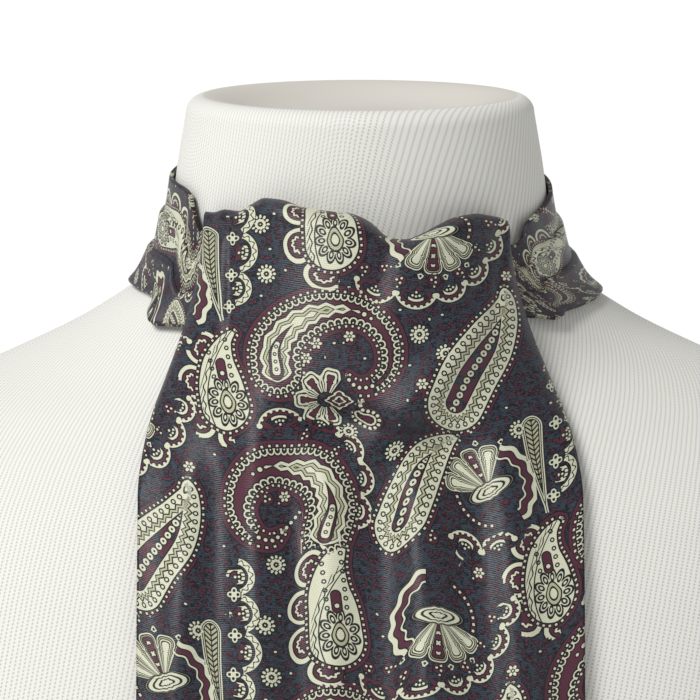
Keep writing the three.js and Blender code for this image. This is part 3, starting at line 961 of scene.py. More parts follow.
def smooth_path(controls: np.ndarray, spacing: float) -> np.ndarray:
    """A Catmull-Rom curve through control points, with points an even distance apart.

    Args:
        controls: rows of u, v and anything that goes along with them.
        spacing: the distance between the points, in millimetres.

    Returns:
        Rows of the same columns.
    """
    ends = 2 * controls[[0, -1]] - controls[[1, -2]]
    padded = np.concatenate([ends[:1], controls, ends[1:]])
    t = np.linspace(0, 1, 40, endpoint=False)[None, :, None]
    p0, p1, p2, p3 = (padded[k : len(padded) - 3 + k, None] for k in range(4))
    fine = p1 + 0.5 * t * (p2 - p0 + t * (2 * p0 - 5 * p1 + 4 * p2 - p3 + t * (3 * (p1 - p2) + p3 - p0)))
    fine = np.concatenate([fine.reshape(-1, controls.shape[1]), controls[-1:]])
    run = np.concatenate([[0], np.cumsum(np.hypot(*np.diff(fine[:, :2], axis=0).T))])
    even = np.linspace(0, run[-1], max(int(run[-1] / spacing), 8))
    return np.stack([np.interp(even, run, column) for column in fine.T], -1)


class Trail:
    """A path of close points that tells where a place lies along it and to its left."""

    BLOCK = 4000

    def __init__(self, points: np.ndarray, whole: float | None = None) -> None:
        """Notes the points' tangents and runs.

        Args:
            points: the path's points.
            whole: the run at its end, if its length is to be stretched to that.
        """
        self.points = points
        tangents = np.gradient(points, axis=0)
        self.tangents = tangents / np.maximum(np.hypot(*tangents.T), 1e-9)[:, None]
        self.run = np.concatenate([[0], np.cumsum(np.hypot(*np.diff(points, axis=0).T))])
        self.stretch = (whole or self.run[-1]) / self.run[-1]

    def nearest(self, places: np.ndarray) -> np.ndarray:
        """Finds the nearest points, in blocks to save memory.

        Args:
            places: rows of u and v.

        Returns:
            The number of the path's point nearest to each place.
        """
        blocks = np.array_split(places, max(len(places) // self.BLOCK, 1))
        return np.concatenate([
            np.argmin(((block[:, None] - self.points[None]) ** 2).sum(-1), axis=1) for block in blocks
        ])

    def measure(self, places: np.ndarray) -> tuple[np.ndarray, np.ndarray, np.ndarray]:
        """Lays places off from the path's nearest points.

        Args:
            places: rows of u and v.

        Returns:
            Each place's run, its distance to the left of the tangent, and its distance from the path with
            the same sign.
        """
        near = self.nearest(places)
        offset = places - self.points[near]
        tangent = self.tangents[near]
        side = tangent[:, 0] * offset[:, 1] - tangent[:, 1] * offset[:, 0]
        ahead = (tangent * offset).sum(1)
        apart = np.hypot(side, np.maximum(np.abs(ahead) - 0.2, 0))
        return (self.run[near] + ahead) * self.stretch, side, np.where(side < 0, -apart, apart)


@dataclass
class RoundOrnament:
    """An ornament drawn round its middle. "turn" is in degrees, and "reach" is its radius."""

    motif: Motif
    u: float
    v: float
    reach: float
    turn: float = 0.0

    def __post_init__(self) -> None:
        """Notes the middle and how far the drawing goes from it."""
        self.middle = np.array([self.u, self.v])
        self.bound = self.reach

    def territory(self, places: np.ndarray) -> np.ndarray:
        """How far each place lies outside the drawing."""
        return np.hypot(*(places - self.middle).T) - self.reach

    def fields(self, places: np.ndarray) -> np.ndarray:
        """Along, inside, size, x and y at each place: x and y are turned into the ornament's axes.

        Args:
            places: rows of u and v.

        Returns:
            Rows of the five values.
        """
        du, dv = (places - self.middle).T
        c, s = math.cos(math.radians(self.turn)), math.sin(math.radians(self.turn))
        x, y = du * c + dv * s, dv * c - du * s
        return np.stack([0 * x, self.reach - np.hypot(x, y), 0 * x + self.reach, x, y], -1)


@dataclass
class Arc:
    """One arc of a garland, from cusp to cusp. It bulges to the right of its way as u and v are drawn."""

    BAND = 7.0
    MARGIN = 1.0

    motif: Motif
    u0: float
    v0: float
    u1: float
    v1: float
    rise: float = 0.36

    def __post_init__(self) -> None:
        """Works out the circle from the chord and the rise, a share of it."""
        start, end = np.array([self.u0, self.v0]), np.array([self.u1, self.v1])
        chord = math.hypot(*(end - start))
        sagitta = self.rise * chord
        self.radius = (chord**2 / 4 + sagitta**2) / (2 * sagitta)
        self.axis = (end - start) / chord
        self.inward = np.array([-self.axis[1], self.axis[0]])
        self.crown = (start + end) / 2 - self.inward * sagitta
        self.middle = self.crown + self.inward * 3
        self.half = self.radius * math.acos(1 - sagitta / self.radius)
        self.bound = chord * 0.6 + 4

    def fields(self, places: np.ndarray) -> np.ndarray:
        """Along, inside, size, x and y at each place: the size is the run from the crown to a cusp.

        Args:
            places: rows of u and v.

        Returns:
            Rows of the five values.
        """
        x, y = (places - self.crown) @ self.axis, (places - self.crown) @ self.inward
        along = self.radius * np.arctan2(x, self.radius - y)
        return np.stack([along, self.radius - np.hypot(x, self.radius - y), 0 * x + self.half, x, y], -1)

    def territory(self, places: np.ndarray) -> np.ndarray:
        """How far each place lies outside the band along the inside of the arc."""
        along, inside, half, _, _ = self.fields(places).T
        return np.maximum(np.maximum(np.abs(along) - half, inside - self.BAND), -inside) - self.MARGIN


@dataclass
class Boteh:
    """A paisley teardrop: a round head, and a spine of shrinking radius that curls to a point.

    The run round its outline is stretched to a whole number of repeats, so that its beads close up.
    "crested" is how far a crest reaches past the margin on the head's right side.
    """

    REPEAT = 12.0
    SPINE_SPACING = 0.3
    OUTLINE_SPACING = 0.25
    SHARPEST = 0.15

    motif: Motif
    margin: float
    spine: tuple[tuple[float, float, float], ...]
    crested: float = 0.0

    def __post_init__(self) -> None:
        """Draws the outline: the spine moved out by its radius on both sides, and a round head."""
        path = smooth_path(np.array(self.spine, float), self.SPINE_SPACING)
        self.radius = np.maximum(path[:, 2], self.SHARPEST)
        self.back = Trail(path[:, :2])
        at, tangent = self.back.points, self.back.tangents
        normal = np.stack([-tangent[:, 1], tangent[:, 0]], -1)
        sweep = np.radians(np.arange(6, 176, 6.0))[:, None]
        cap = at[0] + self.radius[0] * (normal[0] * np.cos(sweep) - tangent[0] * np.sin(sweep))
        left, right = at + normal * self.radius[:, None], at - normal * self.radius[:, None]
        outline = smooth_path(
            np.concatenate([left[::-6], cap, right[::6], at[-1:]]), self.OUTLINE_SPACING
        )
        length = np.hypot(*np.diff(outline, axis=0).T).sum()
        self.edge = Trail(outline, whole=self.REPEAT * max(round(length / self.REPEAT), 1))
        self.middle = (at.min(0) + at.max(0)) / 2
        self.bound = np.hypot(*(at - self.middle).T).max() + self.radius.max() + self.margin + self.crested

    def head_axes(self, places: np.ndarray) -> tuple[np.ndarray, np.ndarray]:
        """Measures places from the middle of the head.

        Args:
            places: rows of u and v.

        Returns:
            Each place's distance across and up.
        """
        du, dv = (places - self.back.points[0]).T
        tu, tv = self.back.tangents[0]
        return tv * du - tu * dv, tu * du + tv * dv

    def territory(self, places: np.ndarray) -> np.ndarray:
        """How far each place lies outside the drawing: its distance from the spine's nearest circle.

        Args:
            places: rows of u and v.

        Returns:
            The distances, negative inside.
        """
        circles = slice(None, None, 5)
        gaps = np.linalg.norm(places[:, None] - self.back.points[None, circles], axis=-1)
        crest = self.crested * (self.head_axes(places)[0] > 0)
        return (gaps - self.radius[None, circles]).min(1) - self.margin - crest

    def fields(self, places: np.ndarray) -> np.ndarray:
        """Along, inside, size, x and y at each place: the size is the spine's radius there.

        Args:
            places: rows of u and v.

        Returns:
            Rows of the five values.
        """
        along, _, inside = self.edge.measure(places)
        near = self.back.nearest(places)
        x, y = self.head_axes(places) if self.motif is Motif.FLORAL_BOTEH else self.back.measure(places)[:2]
        return np.stack([along, inside, self.radius[near], x, y], -1)


def garland(motif: Motif, *cusps: tuple[float, float]) -> list[Arc]:
    """A chain of arcs through its cusps."""
    return [Arc(motif, *start, *end) for start, end in zip(cusps, cusps[1:])]


@dataclass
class PaisleyPrint:
    """One repeat of the print. Each column of repeats drops by half the repeat's height."""

    width: float = 108.0
    height: float = 136.0
    middle: float = 60.0
    ornaments: tuple[RoundOrnament | Arc | Boteh, ...] = (
        Boteh(Motif.LACE_BOTEH, 3, (
            (-28.5, 61, 8.2), (-28.7, 54, 7.9), (-24, 47, 7.2), (-17, 42.5, 6.4), (-10, 40.6, 5.4),
            (-2.6, 40.8, 4.4), (3.5, 43.8, 3.7), (8, 49, 3.3), (9.7, 55, 3), (8.6, 61.5, 2.6),
            (4, 66, 2.1), (-1.5, 66.5, 1.4), (-5, 63.5, 0.5),
        )),
        Boteh(Motif.LACE_BOTEH, 3, (
            (-13, 119, 7), (-11, 110, 7.2), (-14, 101, 6.8), (-22, 95, 6.2), (-32, 94, 5.4),
            (-39.5, 100, 4.6), (-42, 109, 3.6), (-38, 117, 2.4), (-31.5, 119, 1.2), (-28, 116, 0.4),
        )),
        Boteh(Motif.FLORAL_BOTEH, 3, (
            (-9.5, 18.5, 8.7), (-10.5, 10, 8), (-12, 2, 6.5), (-11, -6, 4), (-8, -12, 1.2),
        ), 5.5),
        Boteh(Motif.FLORAL_BOTEH, 3, (
            (-46, 75, 8), (-47.5, 67, 7.4), (-48, 59, 5.2), (-46, 52.5, 2.4), (-43, 49, 0.8),
        )),
        Boteh(Motif.LEAF_BOTEH, 2.6, (
            (31, 74, 9.5), (36, 64, 9.5), (42.5, 54, 8.6), (47, 45, 6), (49, 38, 3), (48, 34, 1),
        )),
        Boteh(Motif.LEAF_BOTEH, 2.6, (
            (12, 115, 8.8), (16, 105, 8.4), (21.5, 95.5, 6.4), (27, 89, 3.4), (31, 86, 1),
        )),
        Boteh(Motif.FEATHER, 1, ((-51.6, 15.5, 3.7), (-50.8, 25, 3), (-49.2, 34, 1.9), (-47.4, 43, 0.6))),
        Boteh(Motif.COMMA, 1.5, ((2.5, 78, 3.4), (-1, 76.5, 2.8), (-2.2, 73, 1.6), (0, 70.6, 0.6))),
        RoundOrnament(Motif.FLOWER, -12.2, 71, 12.4),
        RoundOrnament(Motif.PALMETTE, 24, 13.6, 16.6),
        RoundOrnament(Motif.PALMETTE, 42, 104, 16.6, 150),
        *garland(
            Motif.CRESCENT, (49.6, 5), (46, 14), (42, 24), (34.8, 32), (25, 36.6), (11.7, 35.4), (-1.8, 30),
        ),
        *garland(Motif.CRESCENT, (-35, 81), (-21, 78), (-8.4, 85.3), (-1.1, 94), (-1.1, 105.5), (-3, 117)),
        *garland(Motif.SCALLOP, (-41.5, -10), (-40.5, 2), (-38.8, 14.2), (-39.8, 27.9), (-41.5, 39.6)),
        *garland(Motif.CRESCENT, (28, 122), (39, 125), (50, 121)),
        *(RoundOrnament(Motif.TREFOIL, u, v, 2.8) for u, v in (
            (-43.4, 2), (-43.1, 15.6), (-43.6, 28.6), (-44.6, 40),
        )),
        *(RoundOrnament(Motif.ROSETTE, u, v, 3.6) for u, v in (
            (-33.5, 11.4), (-31.4, 28.5), (19.3, 49.6), (-5, 83.6), (28, 57), (-30, 127), (10, 90), (52, 84),
        )),
        *(RoundOrnament(Motif.DAISY, u, v, 3) for u, v in (
            (49.3, 29.2), (-4, 49.5), (-15, 52), (-18.5, 57), (20, 67), (-27, 104), (47, 62), (38, -4),
        )),
        *(RoundOrnament(Motif.SPRIG, u, v, 2.6, t) for u, v, t in (
            (13, 31, 200), (24.4, 31, 180), (33, 28, 140), (37.5, 19.5, 110), (42.4, 10.8, 100),
            (1.1, 26.6, 200), (-20, 85, 20), (-10, 92, 40), (-7, 124, 0), (22, 124, 0), (-33, 105, 0),
            (8, 26, 90),
        )),
        *(RoundOrnament(Motif.DOT, u, v, 1.4, t) for u, v, t in (
            (-28.9, 8, 20), (-30.2, 20, 0), (-25, 27.3, 30), (-33.2, 36, 0), (-9.1, 51.8, 0),
            (22.7, 44.5, 60), (13, 41, 0), (27, 43, 0), (6, 15, 0), (4, 8, 30), (-4, 33, 0), (16, 60, 0),
            (15, 72, 80), (12, 80, 80), (24, 86, 0), (-50, 92, 0), (-47, 122, 0), (8, 100, 80),
            (5, 120, 0), (-20, 108, 0), (36, 84, 0), (48, 76, 0), (1, 57, 0),
        )),
    )

    def owners(self, places: np.ndarray) -> tuple[np.ndarray, np.ndarray]:
        """Finds the ornament whose drawing each place lies deepest in or nearest to.

        Args:
            places: u and v of each face's middle.

        Returns:
            The number of the ornament, and each place's shift to the repeat that it is drawn in.
        """
        column = np.round(places[:, 0] / self.width)
        row = np.round((places[:, 1] - self.middle - column * self.height / 2) / self.height)
        best = np.full(len(places), np.inf)
        owner = np.zeros(len(places), int)
        shift = np.zeros((len(places), 2))
        for i in (-1, 0, 1):
            for j in (-1, 0, 1, 2) if i else (-1, 0, 1):
                down = (row + j) * self.height + (column + i) * self.height / 2
                moved = np.stack([(column + i) * self.width, down], -1)
                local = places - moved
                for number, ornament in enumerate(self.ornaments):
                    close = np.flatnonzero(np.hypot(*(local - ornament.middle).T) < ornament.bound + 2)
                    found = ornament.territory(local[close])
                    nearer = found < best[close]
                    chosen = close[nearer]
                    best[chosen], owner[chosen], shift[chosen] = found[nearer], number, moved[chosen]
        return owner, shift

    def lay_on(self, piece: bpy.types.Object) -> None:
        """Stores on every corner of a piece where it lies in the ornament that its face belongs to.

        Args:
            piece: an object of quads with the cloth's UV map.
        """
        mesh = piece.data
        uv = np.empty(len(mesh.loops) * 2, np.float32)
        mesh.uv_layers[CLOTH_MAP].data.foreach_get("uv", uv)
        corners = uv.reshape(-1, 4, 2).astype(float)
        owner, shift = self.owners(corners.mean(1))
        stored = np.zeros((len(corners), 4, 6))
        for number, ornament in enumerate(self.ornaments):
            mine = np.flatnonzero(owner == number)
            if len(mine):
                local = (corners[mine] - shift[mine, None]).reshape(-1, 2)
                stored[mine, :, :5] = ornament.fields(local).reshape(-1, 4, 5)
                stored[mine, :, 5] = ornament.motif.value
        for name, part in zip(ORNAMENT_LAYERS, (stored[..., :3], stored[..., 3:])):
            layer = mesh.attributes.new(name, "FLOAT_VECTOR", "CORNER")
            layer.data.foreach_set("vector", part.astype(np.float32).ravel())


# Finishes.


def linear(hex_colour: str) -> tuple[float, float, float, float]:
    """Turns an sRGB colour to linear light.

    Args:
        hex_colour: "#" and six hex digits.

    Returns:
        Red, green and blue, and an alpha of 1.
    """
    parts = (int(hex_colour[i : i + 2], 16) / 255 for i in (1, 3, 5))
    light = (c / 12.92 if c <= 0.04045 else ((c + 0.055) / 1.055) ** 2.4 for c in parts)
    return (*light, 1.0)


def add_node(
    material: bpy.types.Material, kind: str, settings: dict | None = None, inputs: dict | None = None
) -> bpy.types.Node:
    """Adds one node with its settings and links.

    Args:
        material: whose tree it goes in.
        kind: the node's type name, without its ShaderNode start.
        settings: attribute values.
        inputs: input name or number to a value, or to the socket that feeds it.

    Returns:
        The node.
    """
    tree = material.node_tree
    node = tree.nodes.new("ShaderNode" + kind)
    for name, value in (settings or {}).items():
        setattr(node, name, value)
    for name, value in (inputs or {}).items():
        if isinstance(value, bpy.types.NodeSocket):
            tree.links.new(value, node.inputs[name])
        else:
            node.inputs[name].default_value = value
    return node


def empty_material(name: str) -> bpy.types.Material:
    """A new node material with nothing in its tree."""
    material = bpy.data.materials.new(name)
    material.use_nodes = True
    material.node_tree.nodes.clear()
    return material


def with_shader(material: bpy.types.Material, looks: dict) -> bpy.types.Material:
    """Adds the shader with its inputs and the output that it feeds, and gives the material back."""
    shader = add_node(material, "BsdfPrincipled", inputs=looks)
    add_node(material, "OutputMaterial", inputs={"Surface": shader.outputs[0]})
    return material


@dataclass(frozen=True)
class ClothLustre:
    """How a cloth takes the light: its gloss, the fuzz on it, and its weave as a bump."""

    roughness: float
    specular: float
    ior: float
    sheen: float
    sheen_roughness: float
    bump: float
    bump_depth: float

    def dress(self, material: bpy.types.Material, colour: Colour, height: Value) -> bpy.types.Material:
        """Gives a material its shader.

        Args:
            material: the material, with nodes for its colour and height.
            colour: its colour.
            height: the height of its weave.

        Returns:
            The same material.
        """
        bump = add_node(material, "Bump", inputs={
            "Strength": self.bump, "Distance": self.bump_depth, "Height": height,
        })
        return with_shader(material, {
            "Base Color": colour, "Roughness": self.roughness, "Specular IOR Level": self.specular,
            "IOR": self.ior, "Sheen Weight": self.sheen, "Sheen Roughness": self.sheen_roughness,
            "Normal": bump.outputs[0],
        })


class FormulaNodes:
    """Turns formulas written as text into math nodes of one material.

    Names are looked up among the known values. A formula is made of numbers, + - * /, max, min, abs,
    sin, cos, atan2, hypot and wrap.
    """

    SIGNS: dict[type, tuple[str, Callable]] = {
        ast.Add: ("ADD", operator.add), ast.Sub: ("SUBTRACT", operator.sub),
        ast.Mult: ("MULTIPLY", operator.mul), ast.Div: ("DIVIDE", operator.truediv),
    }
    CALLS: dict[str, str] = {
        "abs": "ABSOLUTE", "sin": "SINE", "cos": "COSINE", "atan2": "ARCTAN2", "max": "MAXIMUM",
        "min": "MINIMUM",
    }

    def __init__(self, material: bpy.types.Material, **known: Value) -> None:
        """Takes the material and the values that its formulas may name."""
        self.material = material
        self.known = {"pi": math.pi, **known}

    def math(self, operation: str, *values: Value) -> bpy.types.NodeSocket:
        """Adds one math node and gives its result."""
        return add_node(self.material, "Math", {"operation": operation}, dict(enumerate(values))).outputs[0]

    def value(self, part: ast.expr) -> Value:
        """Works out a part of a formula.

        Args:
            part: the part as read by Python's own parser.

        Returns:
            A number, or the socket of the nodes made for it.
        """
        if isinstance(part, ast.Constant):
            return float(part.value)
        if isinstance(part, ast.Name):
            return self.known[part.id]
        if isinstance(part, ast.UnaryOp):
            return -self.value(part.operand)
        if isinstance(part, ast.BinOp):
            name, number_of = self.SIGNS[type(part.op)]
            sides = self.value(part.left), self.value(part.right)
            both_numbers = isinstance(sides[0], float) and isinstance(sides[1], float)
            return number_of(*sides) if both_numbers else self.math(name, *sides)
        values = [self.value(argument) for argument in part.args]
        if part.func.id == "hypot":
            joined = add_node(self.material, "CombineXYZ", inputs=dict(enumerate(values)))
            length = add_node(self.material, "VectorMath", {"operation": "LENGTH"}, {0: joined.outputs[0]})
            return length.outputs["Value"]
        if part.func.id == "wrap":
            return self.math("WRAP", values[0], values[1], -values[1])
        result = self.math(self.CALLS[part.func.id], *values[:2])
        for value in values[2:]:
            result = self.math(self.CALLS[part.func.id], result, value)
        return result

    def work_out(self, text: str) -> dict[str, Value]:
        """Works out lines of "name = formula" in order, each of which may name the ones before it.

        Args:
            text: the lines.

        Returns:
            Every name that is known at the end, with its value.
        """
        before = self.known
        self.known = dict(before)
        for line in ast.parse(text).body:
            self.known[line.targets[0].id] = self.value(line.value)
        results, self.known = self.known, before
        return results

    def share(self, distance: Value, blur: float) -> bpy.types.NodeSocket:
        """1 where a distance is over the blur, 0 where it is under minus the blur, smooth in between."""
        ramp = {"Value": distance, "From Min": -blur, "From Max": blur}
        return add_node(self.material, "MapRange", {"interpolation_type": "SMOOTHSTEP"}, ramp).outputs[0]

    def mix(self, share: Value, first: Colour, second: Colour) -> bpy.types.NodeSocket:
        """Mixes two colours, each a socket or four numbers, by a share of the second."""
        node = add_node(self.material, "Mix", {"data_type": "RGBA"}, {"Factor": share, 6: first, 7: second})
        return node.outputs[2]


@dataclass(frozen=True)
class RibJersey:
    """Cotton rib jersey, machine-knitted and stretched over the form.

    Cotton yarn is matt, with a faint fuzz that lightens it at grazing angles. Between the ribs the
    stitches open in rows of small holes. The grooves between the ribs, the holes and the neck's dished
    top, which has no knit, are coloured darker than the cream as painted shade. Ribs, courses, holes,
    fuzz and waves in the ribs are sizes in millimetres, and so are the level and radius that bound the
    dish. The blurs soften the edges between colours.
    """

    cream: str = "#D6D6D1"
    # The three colours after the cream are painted shade: darker in the grooves between the ribs, in the
    # stitches' holes and in the neck's dished top.
    groove: str = "#D3D3CD"
    hole: str = "#B8B3AB"
    dish_shade: str = "#C4C0B8"
    rib: float = 1.84
    course: float = 1.3
    lean: float = 0.2
    hole_radius: float = 0.36
    fuzz: float = 5 / 9
    wave: float = 25 / 3
    dish_level: float = 490.0
    dish_radius: float = 53.5
    groove_shade_blur: float = 0.28
    shaded_hole_blur: float = 0.14
    dish_shade_blur: float = 0.0005
    lustre: ClothLustre = ClothLustre(
        roughness=0.92, specular=0.2, ior=1.5, sheen=0.06, sheen_roughness=0.6, bump=0.04, bump_depth=0.0004,
    )

    def material(self) -> bpy.types.Material:
        """Builds the jersey: rounded ribs, and a hole between them at each course.

        Returns:
            The new material.
        """
        made = empty_material("cotton_rib_jersey")
        cloth = add_node(made, "UVMap", {"uv_map": CLOTH_MAP})
        place = add_node(made, "SeparateXYZ", inputs={0: cloth.outputs[0]})
        spread = add_node(made, "TexCoord").outputs["Object"]
        fuzz, wave = (
            add_node(made, "TexNoise", inputs={"Vector": spread, "Scale": 1 / (size * MM), "Detail": detail})
            for size, detail in ((self.fuzz, 3.0), (self.wave, 2.0))
        )
        spot = add_node(made, "SeparateXYZ", inputs={0: spread})
        nodes = FormulaNodes(
            made, u=place.outputs[0], v=place.outputs[1], fuzz=fuzz.outputs[0], wave=wave.outputs[0],
            lean=self.lean, half_rib=self.rib / 2, half_course=self.course / 2, hole_radius=self.hole_radius,
            dish_level=self.dish_level * MM, dish_radius=self.dish_radius * MM,
            east=spot.outputs[0], north=spot.outputs[1], height=spot.outputs[2],
        )
        # The grooves, the holes and the dish mark where painted shade is laid. The holes also dip the bump,
        # and the dish leaves the knit out.
        knit = nodes.work_out("""
across = abs(wrap(u - lean * v + 0.5 * wave, half_rib))
row = wrap(v + 0.12 * fuzz, half_course)
groove = across - 0.7 * half_rib
hole = hole_radius - hypot(half_rib - across, 0.9 * row)
bare = min(height - dish_level, dish_radius - hypot(0.962 * east, 1.02 * north))
stitch = 0.1 * cos(row * pi / half_course + across)
knit = 0.25 * cos(across * pi / half_rib) + stitch - 0.35 * max(hole, 0)
relief = max(min(0 - bare * 300, 1), 0) * knit + 0.06 * fuzz
""")
        # Painted shade: the grooves, then the holes, then the dish are mixed in darker than the cream.
        layers = (
            ("groove", self.groove_shade_blur, self.groove), ("hole", self.shaded_hole_blur, self.hole),
            ("bare", self.dish_shade_blur, self.dish_shade),
        )
        colour = linear(self.cream)
        for name, blur, over in layers:
            colour = nodes.mix(nodes.share(knit[name], blur), colour, linear(over))
        return self.lustre.dress(made, colour, knit["relief"])


@dataclass(frozen=True)
class PrintedSilk:
    """Silk twill, woven and then screen-printed.

    Filament silk gives a soft satin sheen. Its fine ribs run across the cloth. They are really about
    0.3 mm apart, and are drawn twice as far so that they show. Sizes are in millimetres: "fleck" is the
    width and height of the ground's cells, each of which may hold a fleck, "warp" how far apart the bends
    in their edges are and "warp_reach" how far these go, and "slub" the width and height of the yarn's
    uneven places. The lines are the widths of the black round each printed shape.
    """

    slate: str = "#14181F"
    steel: str = "#3A434F"
    wine: str = "#4D2533"
    black: str = "#0B0C0F"
    cream: str = "#C6C7AF"
    beige: str = "#A8A88A"
    rib: float = 0.62
    fleck: tuple[float, float] = (2.3, 1.5)
    warp: float = 20 / 7
    warp_reach: float = 2.6
    slub: tuple[float, float] = (2.0, 5 / 11)
    fleck_line: float = 0.28
    wine_line: float = 0.36
    cream_line: float = 0.42
    ink_blur: float = 0.09
    thread_light: tuple[float, float] = (0.07, 0.95)
    lustre: ClothLustre = ClothLustre(
        roughness=0.38, specular=0.28, ior=1.54, sheen=0.02, sheen_roughness=0.35, bump=0.35,
        bump_depth=0.0001,
    )

    def material(self) -> bpy.types.Material:
        """Builds the silk: the ground with its flecks, the ornaments over it, and the weave's ribs.

        Returns:
            The new material.
        """
        made = empty_material("printed_silk_twill")
        cloth = add_node(made, "UVMap", {"uv_map": CLOTH_MAP})
        place = add_node(made, "SeparateXYZ", inputs={0: cloth.outputs[0]})
        warp = add_node(made, "TexNoise", inputs={
            "Vector": cloth.outputs[0], "Scale": 1 / self.warp, "Detail": 1.0,
        })
        reach = {0: warp.outputs["Color"], "Scale": self.warp_reach}
        bend = add_node(made, "VectorMath", {"operation": "SCALE"}, reach)
        bent = add_node(made, "VectorMath", {"operation": "ADD"}, {0: cloth.outputs[0], 1: bend.outputs[0]})
        cells = (1 / self.fleck[0], 1 / self.fleck[1], 1.0)
        cell = add_node(made, "VectorMath", {"operation": "MULTIPLY"}, {0: bent.outputs[0], 1: cells})
        fleck = add_node(made, "TexVoronoi", inputs={
            "Vector": cell.outputs[0], "Scale": 1.0, "Randomness": 0.85,
        })
        luck = add_node(made, "SeparateColor", inputs={0: fleck.outputs["Color"]})
        long_ways = {0: cloth.outputs[0], 1: (1 / self.slub[0], 1 / self.slub[1], 1.0)}
        streaks = add_node(made, "VectorMath", {"operation": "MULTIPLY"}, long_ways)
        yarn = add_node(made, "TexNoise", inputs={"Vector": streaks.outputs[0], "Scale": 1.3, "Detail": 3.0})
        nodes = FormulaNodes(
            made, u=place.outputs[0], v=place.outputs[1], near=fleck.outputs["Distance"],
            luck=luck.outputs[0], yarn=yarn.outputs[0], rib=self.rib,
        )
        cream, wine, beige = self.ornaments(nodes)
        nodes.known.update(cream=cream, wine=wine)
        ground = nodes.work_out("""
fleck = min(0.64 - 1.9 * near + 0.7 * (yarn - 0.5), 9 * (luck - 0.04), 0 - wine - 0.75, 0 - cream - 0.85)
twill = sin((v + 0.12 * u + 0.25 * yarn) * 2 * pi / rib)
tone = 0.55 + 2.2 * (yarn - 0.5) + 0.3 * twill
height = twill + 0.8 * yarn
""")
        black = linear(self.black)
        colour = nodes.mix(ground["tone"], linear(self.slate), linear(self.steel))
        pale = nodes.mix(nodes.share(beige, self.ink_blur), linear(self.cream), linear(self.beige))
        red = linear(self.wine)
        prints = (
            (ground["fleck"], self.fleck_line, red),
            (wine, self.wine_line, red),
            (cream, self.cream_line, pale),
        )
        for distance, line, body in prints:
            outlined = nodes.math("ADD", distance, line)
            colour = nodes.mix(nodes.share(outlined, self.ink_blur), colour, black)
            colour = nodes.mix(nodes.share(distance, self.ink_blur), colour, body)
        thread = nodes.math("MULTIPLY_ADD", ground["twill"], *self.thread_light)
        lit = add_node(made, "VectorMath", {"operation": "SCALE"}, {0: colour, "Scale": thread})
        return self.lustre.dress(made, lit.outputs[0], ground["height"])

    def ornaments(self, nodes: FormulaNodes) -> list[Value]:
        """Works out every ornament's formulas and keeps those of the ornament that a place lies in.

        Args:
            nodes: the material's formulas.

        Returns:
            The cream, wine and beige distances.
        """
        for name, labels in ORNAMENT_LAYERS.items():
            layer = add_node(nodes.material, "Attribute", {"attribute_name": name})
            parts = add_node(nodes.material, "SeparateXYZ", inputs={0: layer.outputs["Vector"]})
            nodes.known.update(zip(labels, parts.outputs))
        nodes.known.update(nodes.work_out("r = hypot(x, y)\nangle = atan2(y, x)"))
        nodes.known.update(cream=NOWHERE, wine=NOWHERE, beige=NOWHERE)
        totals: list[Value] = [0.0, 0.0, 0.0]
        for motif, text in MOTIF_FORMULAS.items():
            is_here = nodes.math("COMPARE", nodes.known["kind"], float(motif.value), 0.4)
            drawn = nodes.work_out(text)
            for k, name in enumerate(("cream", "wine", "beige")):
                totals[k] = nodes.math("MULTIPLY_ADD", is_here, drawn[name], totals[k])
        return totals


# The studio.


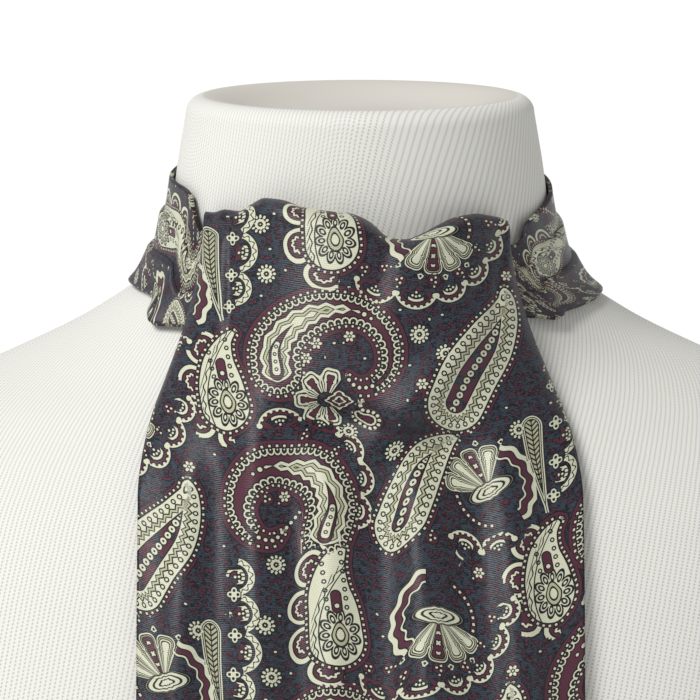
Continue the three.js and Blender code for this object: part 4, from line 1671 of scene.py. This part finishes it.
@dataclass
class Studio:
    """A pale floor, soft lights and the camera at the photograph's angle."""

    target: tuple[float, float, float] = (-3.6, 0.0, 408.5)
    distance: float = 1500.0
    elevation: float = 9.5
    lens: float = 216.0
    sensor: float = 36.0
    clip: tuple[float, float] = (50.0, 60000.0)
    floor_half: float = 14000.0
    floor_drop: float = 0.5
    floor_colour: str = "#FAFAFA"
    floor_roughness: float = 0.95
    key_strength: float = 2.95
    key_spread: float = 26.0
    key_way: tuple[float, float, float] = (0.72, 0.66, -1.0)
    room_strength: float = 0.42

    def camera(self) -> None:
        """Puts the camera in front of the target, looking slightly down at it."""
        data = bpy.data.cameras.new("camera")
        data.lens, data.sensor_width = self.lens, self.sensor
        data.clip_start, data.clip_end = (distance * MM for distance in self.clip)
        made = put_in_scene("camera", data)
        tilt = math.radians(self.elevation)
        back = Vector((0, -math.cos(tilt), math.sin(tilt)))
        made.location = (Vector(self.target) + back * self.distance) * MM
        made.rotation_euler = (-back).to_track_quat("-Z", "Y").to_euler()
        bpy.context.scene.camera = made

    def floor(self) -> None:
        """A wide plain pale floor just under the form."""
        half, down = self.floor_half * MM, -self.floor_drop * MM
        corners = [(-half, -half, down), (half, -half, down), (half, half, down), (-half, half, down)]
        mesh = bpy.data.meshes.new("floor")
        mesh.from_pydata(corners, [], [(0, 1, 2, 3)])
        paper = {"Base Color": linear(self.floor_colour), "Roughness": self.floor_roughness}
        mesh.materials.append(with_shader(empty_material("matt_white_paper"), paper))
        put_in_scene("floor", mesh)

    def lights(self) -> None:
        """A wide soft key from the upper left in front, and a dimmer white room all round."""
        data = bpy.data.lights.new("key", "SUN")
        data.energy, data.angle = self.key_strength, math.radians(self.key_spread)
        key = put_in_scene("key", data)
        key.rotation_euler = Vector(self.key_way).to_track_quat("-Z", "Y").to_euler()
        world = bpy.data.worlds.new("studio")
        world.use_nodes = True
        room = world.node_tree.nodes["Background"].inputs
        room["Color"].default_value = (1, 1, 1, 1)
        room["Strength"].default_value = self.room_strength
        bpy.context.scene.world = world
        bpy.context.scene.view_settings.view_transform = "Standard"


# Putting it together.


@dataclass
class SilkPiece:
    """One stretch of the cravat: its CAD node, its shape and its slot.

    "flat" is the width and length of the cut that shows, in metres, and "area" its area in square metres
    where it isn't a rectangle.
    """

    node: str
    surface: Surface
    slot: str
    flat: tuple[float, float]
    held: str
    rests_on: tuple[str, ...]
    area: float | None = None

    def make(self, silk: bpy.types.Material, paisley: PaisleyPrint) -> bpy.types.Object:
        """Args:
            silk: its material.
            paisley: the print.

        Returns:
            The piece.
        """
        made = self.surface.to_object(self.node + "_silk", silk)
        paisley.lay_on(made)
        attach(made, "root")
        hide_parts(self.node)
        return made


def cravat(form: BustForm) -> list[SilkPiece]:
    """Makes the cravat's four stretches, from the neck outwards.

    Args:
        form: the form that they are tied on.

    Returns:
        The four pieces.
    """
    band = NeckBand(form).surface()
    wrap = Ribbon(form, KNOT_WRAP_PATH, 90, 26).surface()
    under = Ribbon(form, UNDER_BLADE_PATH, 120, 70, tip=214.0).surface()
    front = FrontBlade(form).surface()
    face, inside = "printed_silk", "printed_silk_inside"
    return [
        SilkPiece("neck_band", band, face, (0.042, 0.38), "folded", ("bust_form_jersey",)),
        SilkPiece("under_blade", under, inside, (0.14, 0.267), "hung", ("bust_form_jersey",), 0.0208),
        SilkPiece("knot_wrap", wrap, inside, (0.028, 0.108), "folded", ("under_blade",)),
        SilkPiece("front_blade", front, face, (0.15, 0.353), "hung", ("knot_wrap",), 0.0455),
    ]


def main() -> None:
    """Builds the form, the silk and the studio in order, and says what was made."""
    logging.basicConfig(level=logging.INFO, format="%(name)s: %(message)s")
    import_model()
    studio = Studio()
    studio.camera()
    form = BustForm()
    jersey = form.surface().to_object("bust_form_jersey", RibJersey().material())
    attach(jersey, "root")
    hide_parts("bust_form")
    silk = PrintedSilk().material()
    paisley = PaisleyPrint()
    for piece in cravat(form):
        made = piece.make(silk, paisley)
        log.info("%s: %d faces", made.name, len(made.data.polygons))
    studio.floor()
    studio.lights()


if __name__ == "__main__":
    main()
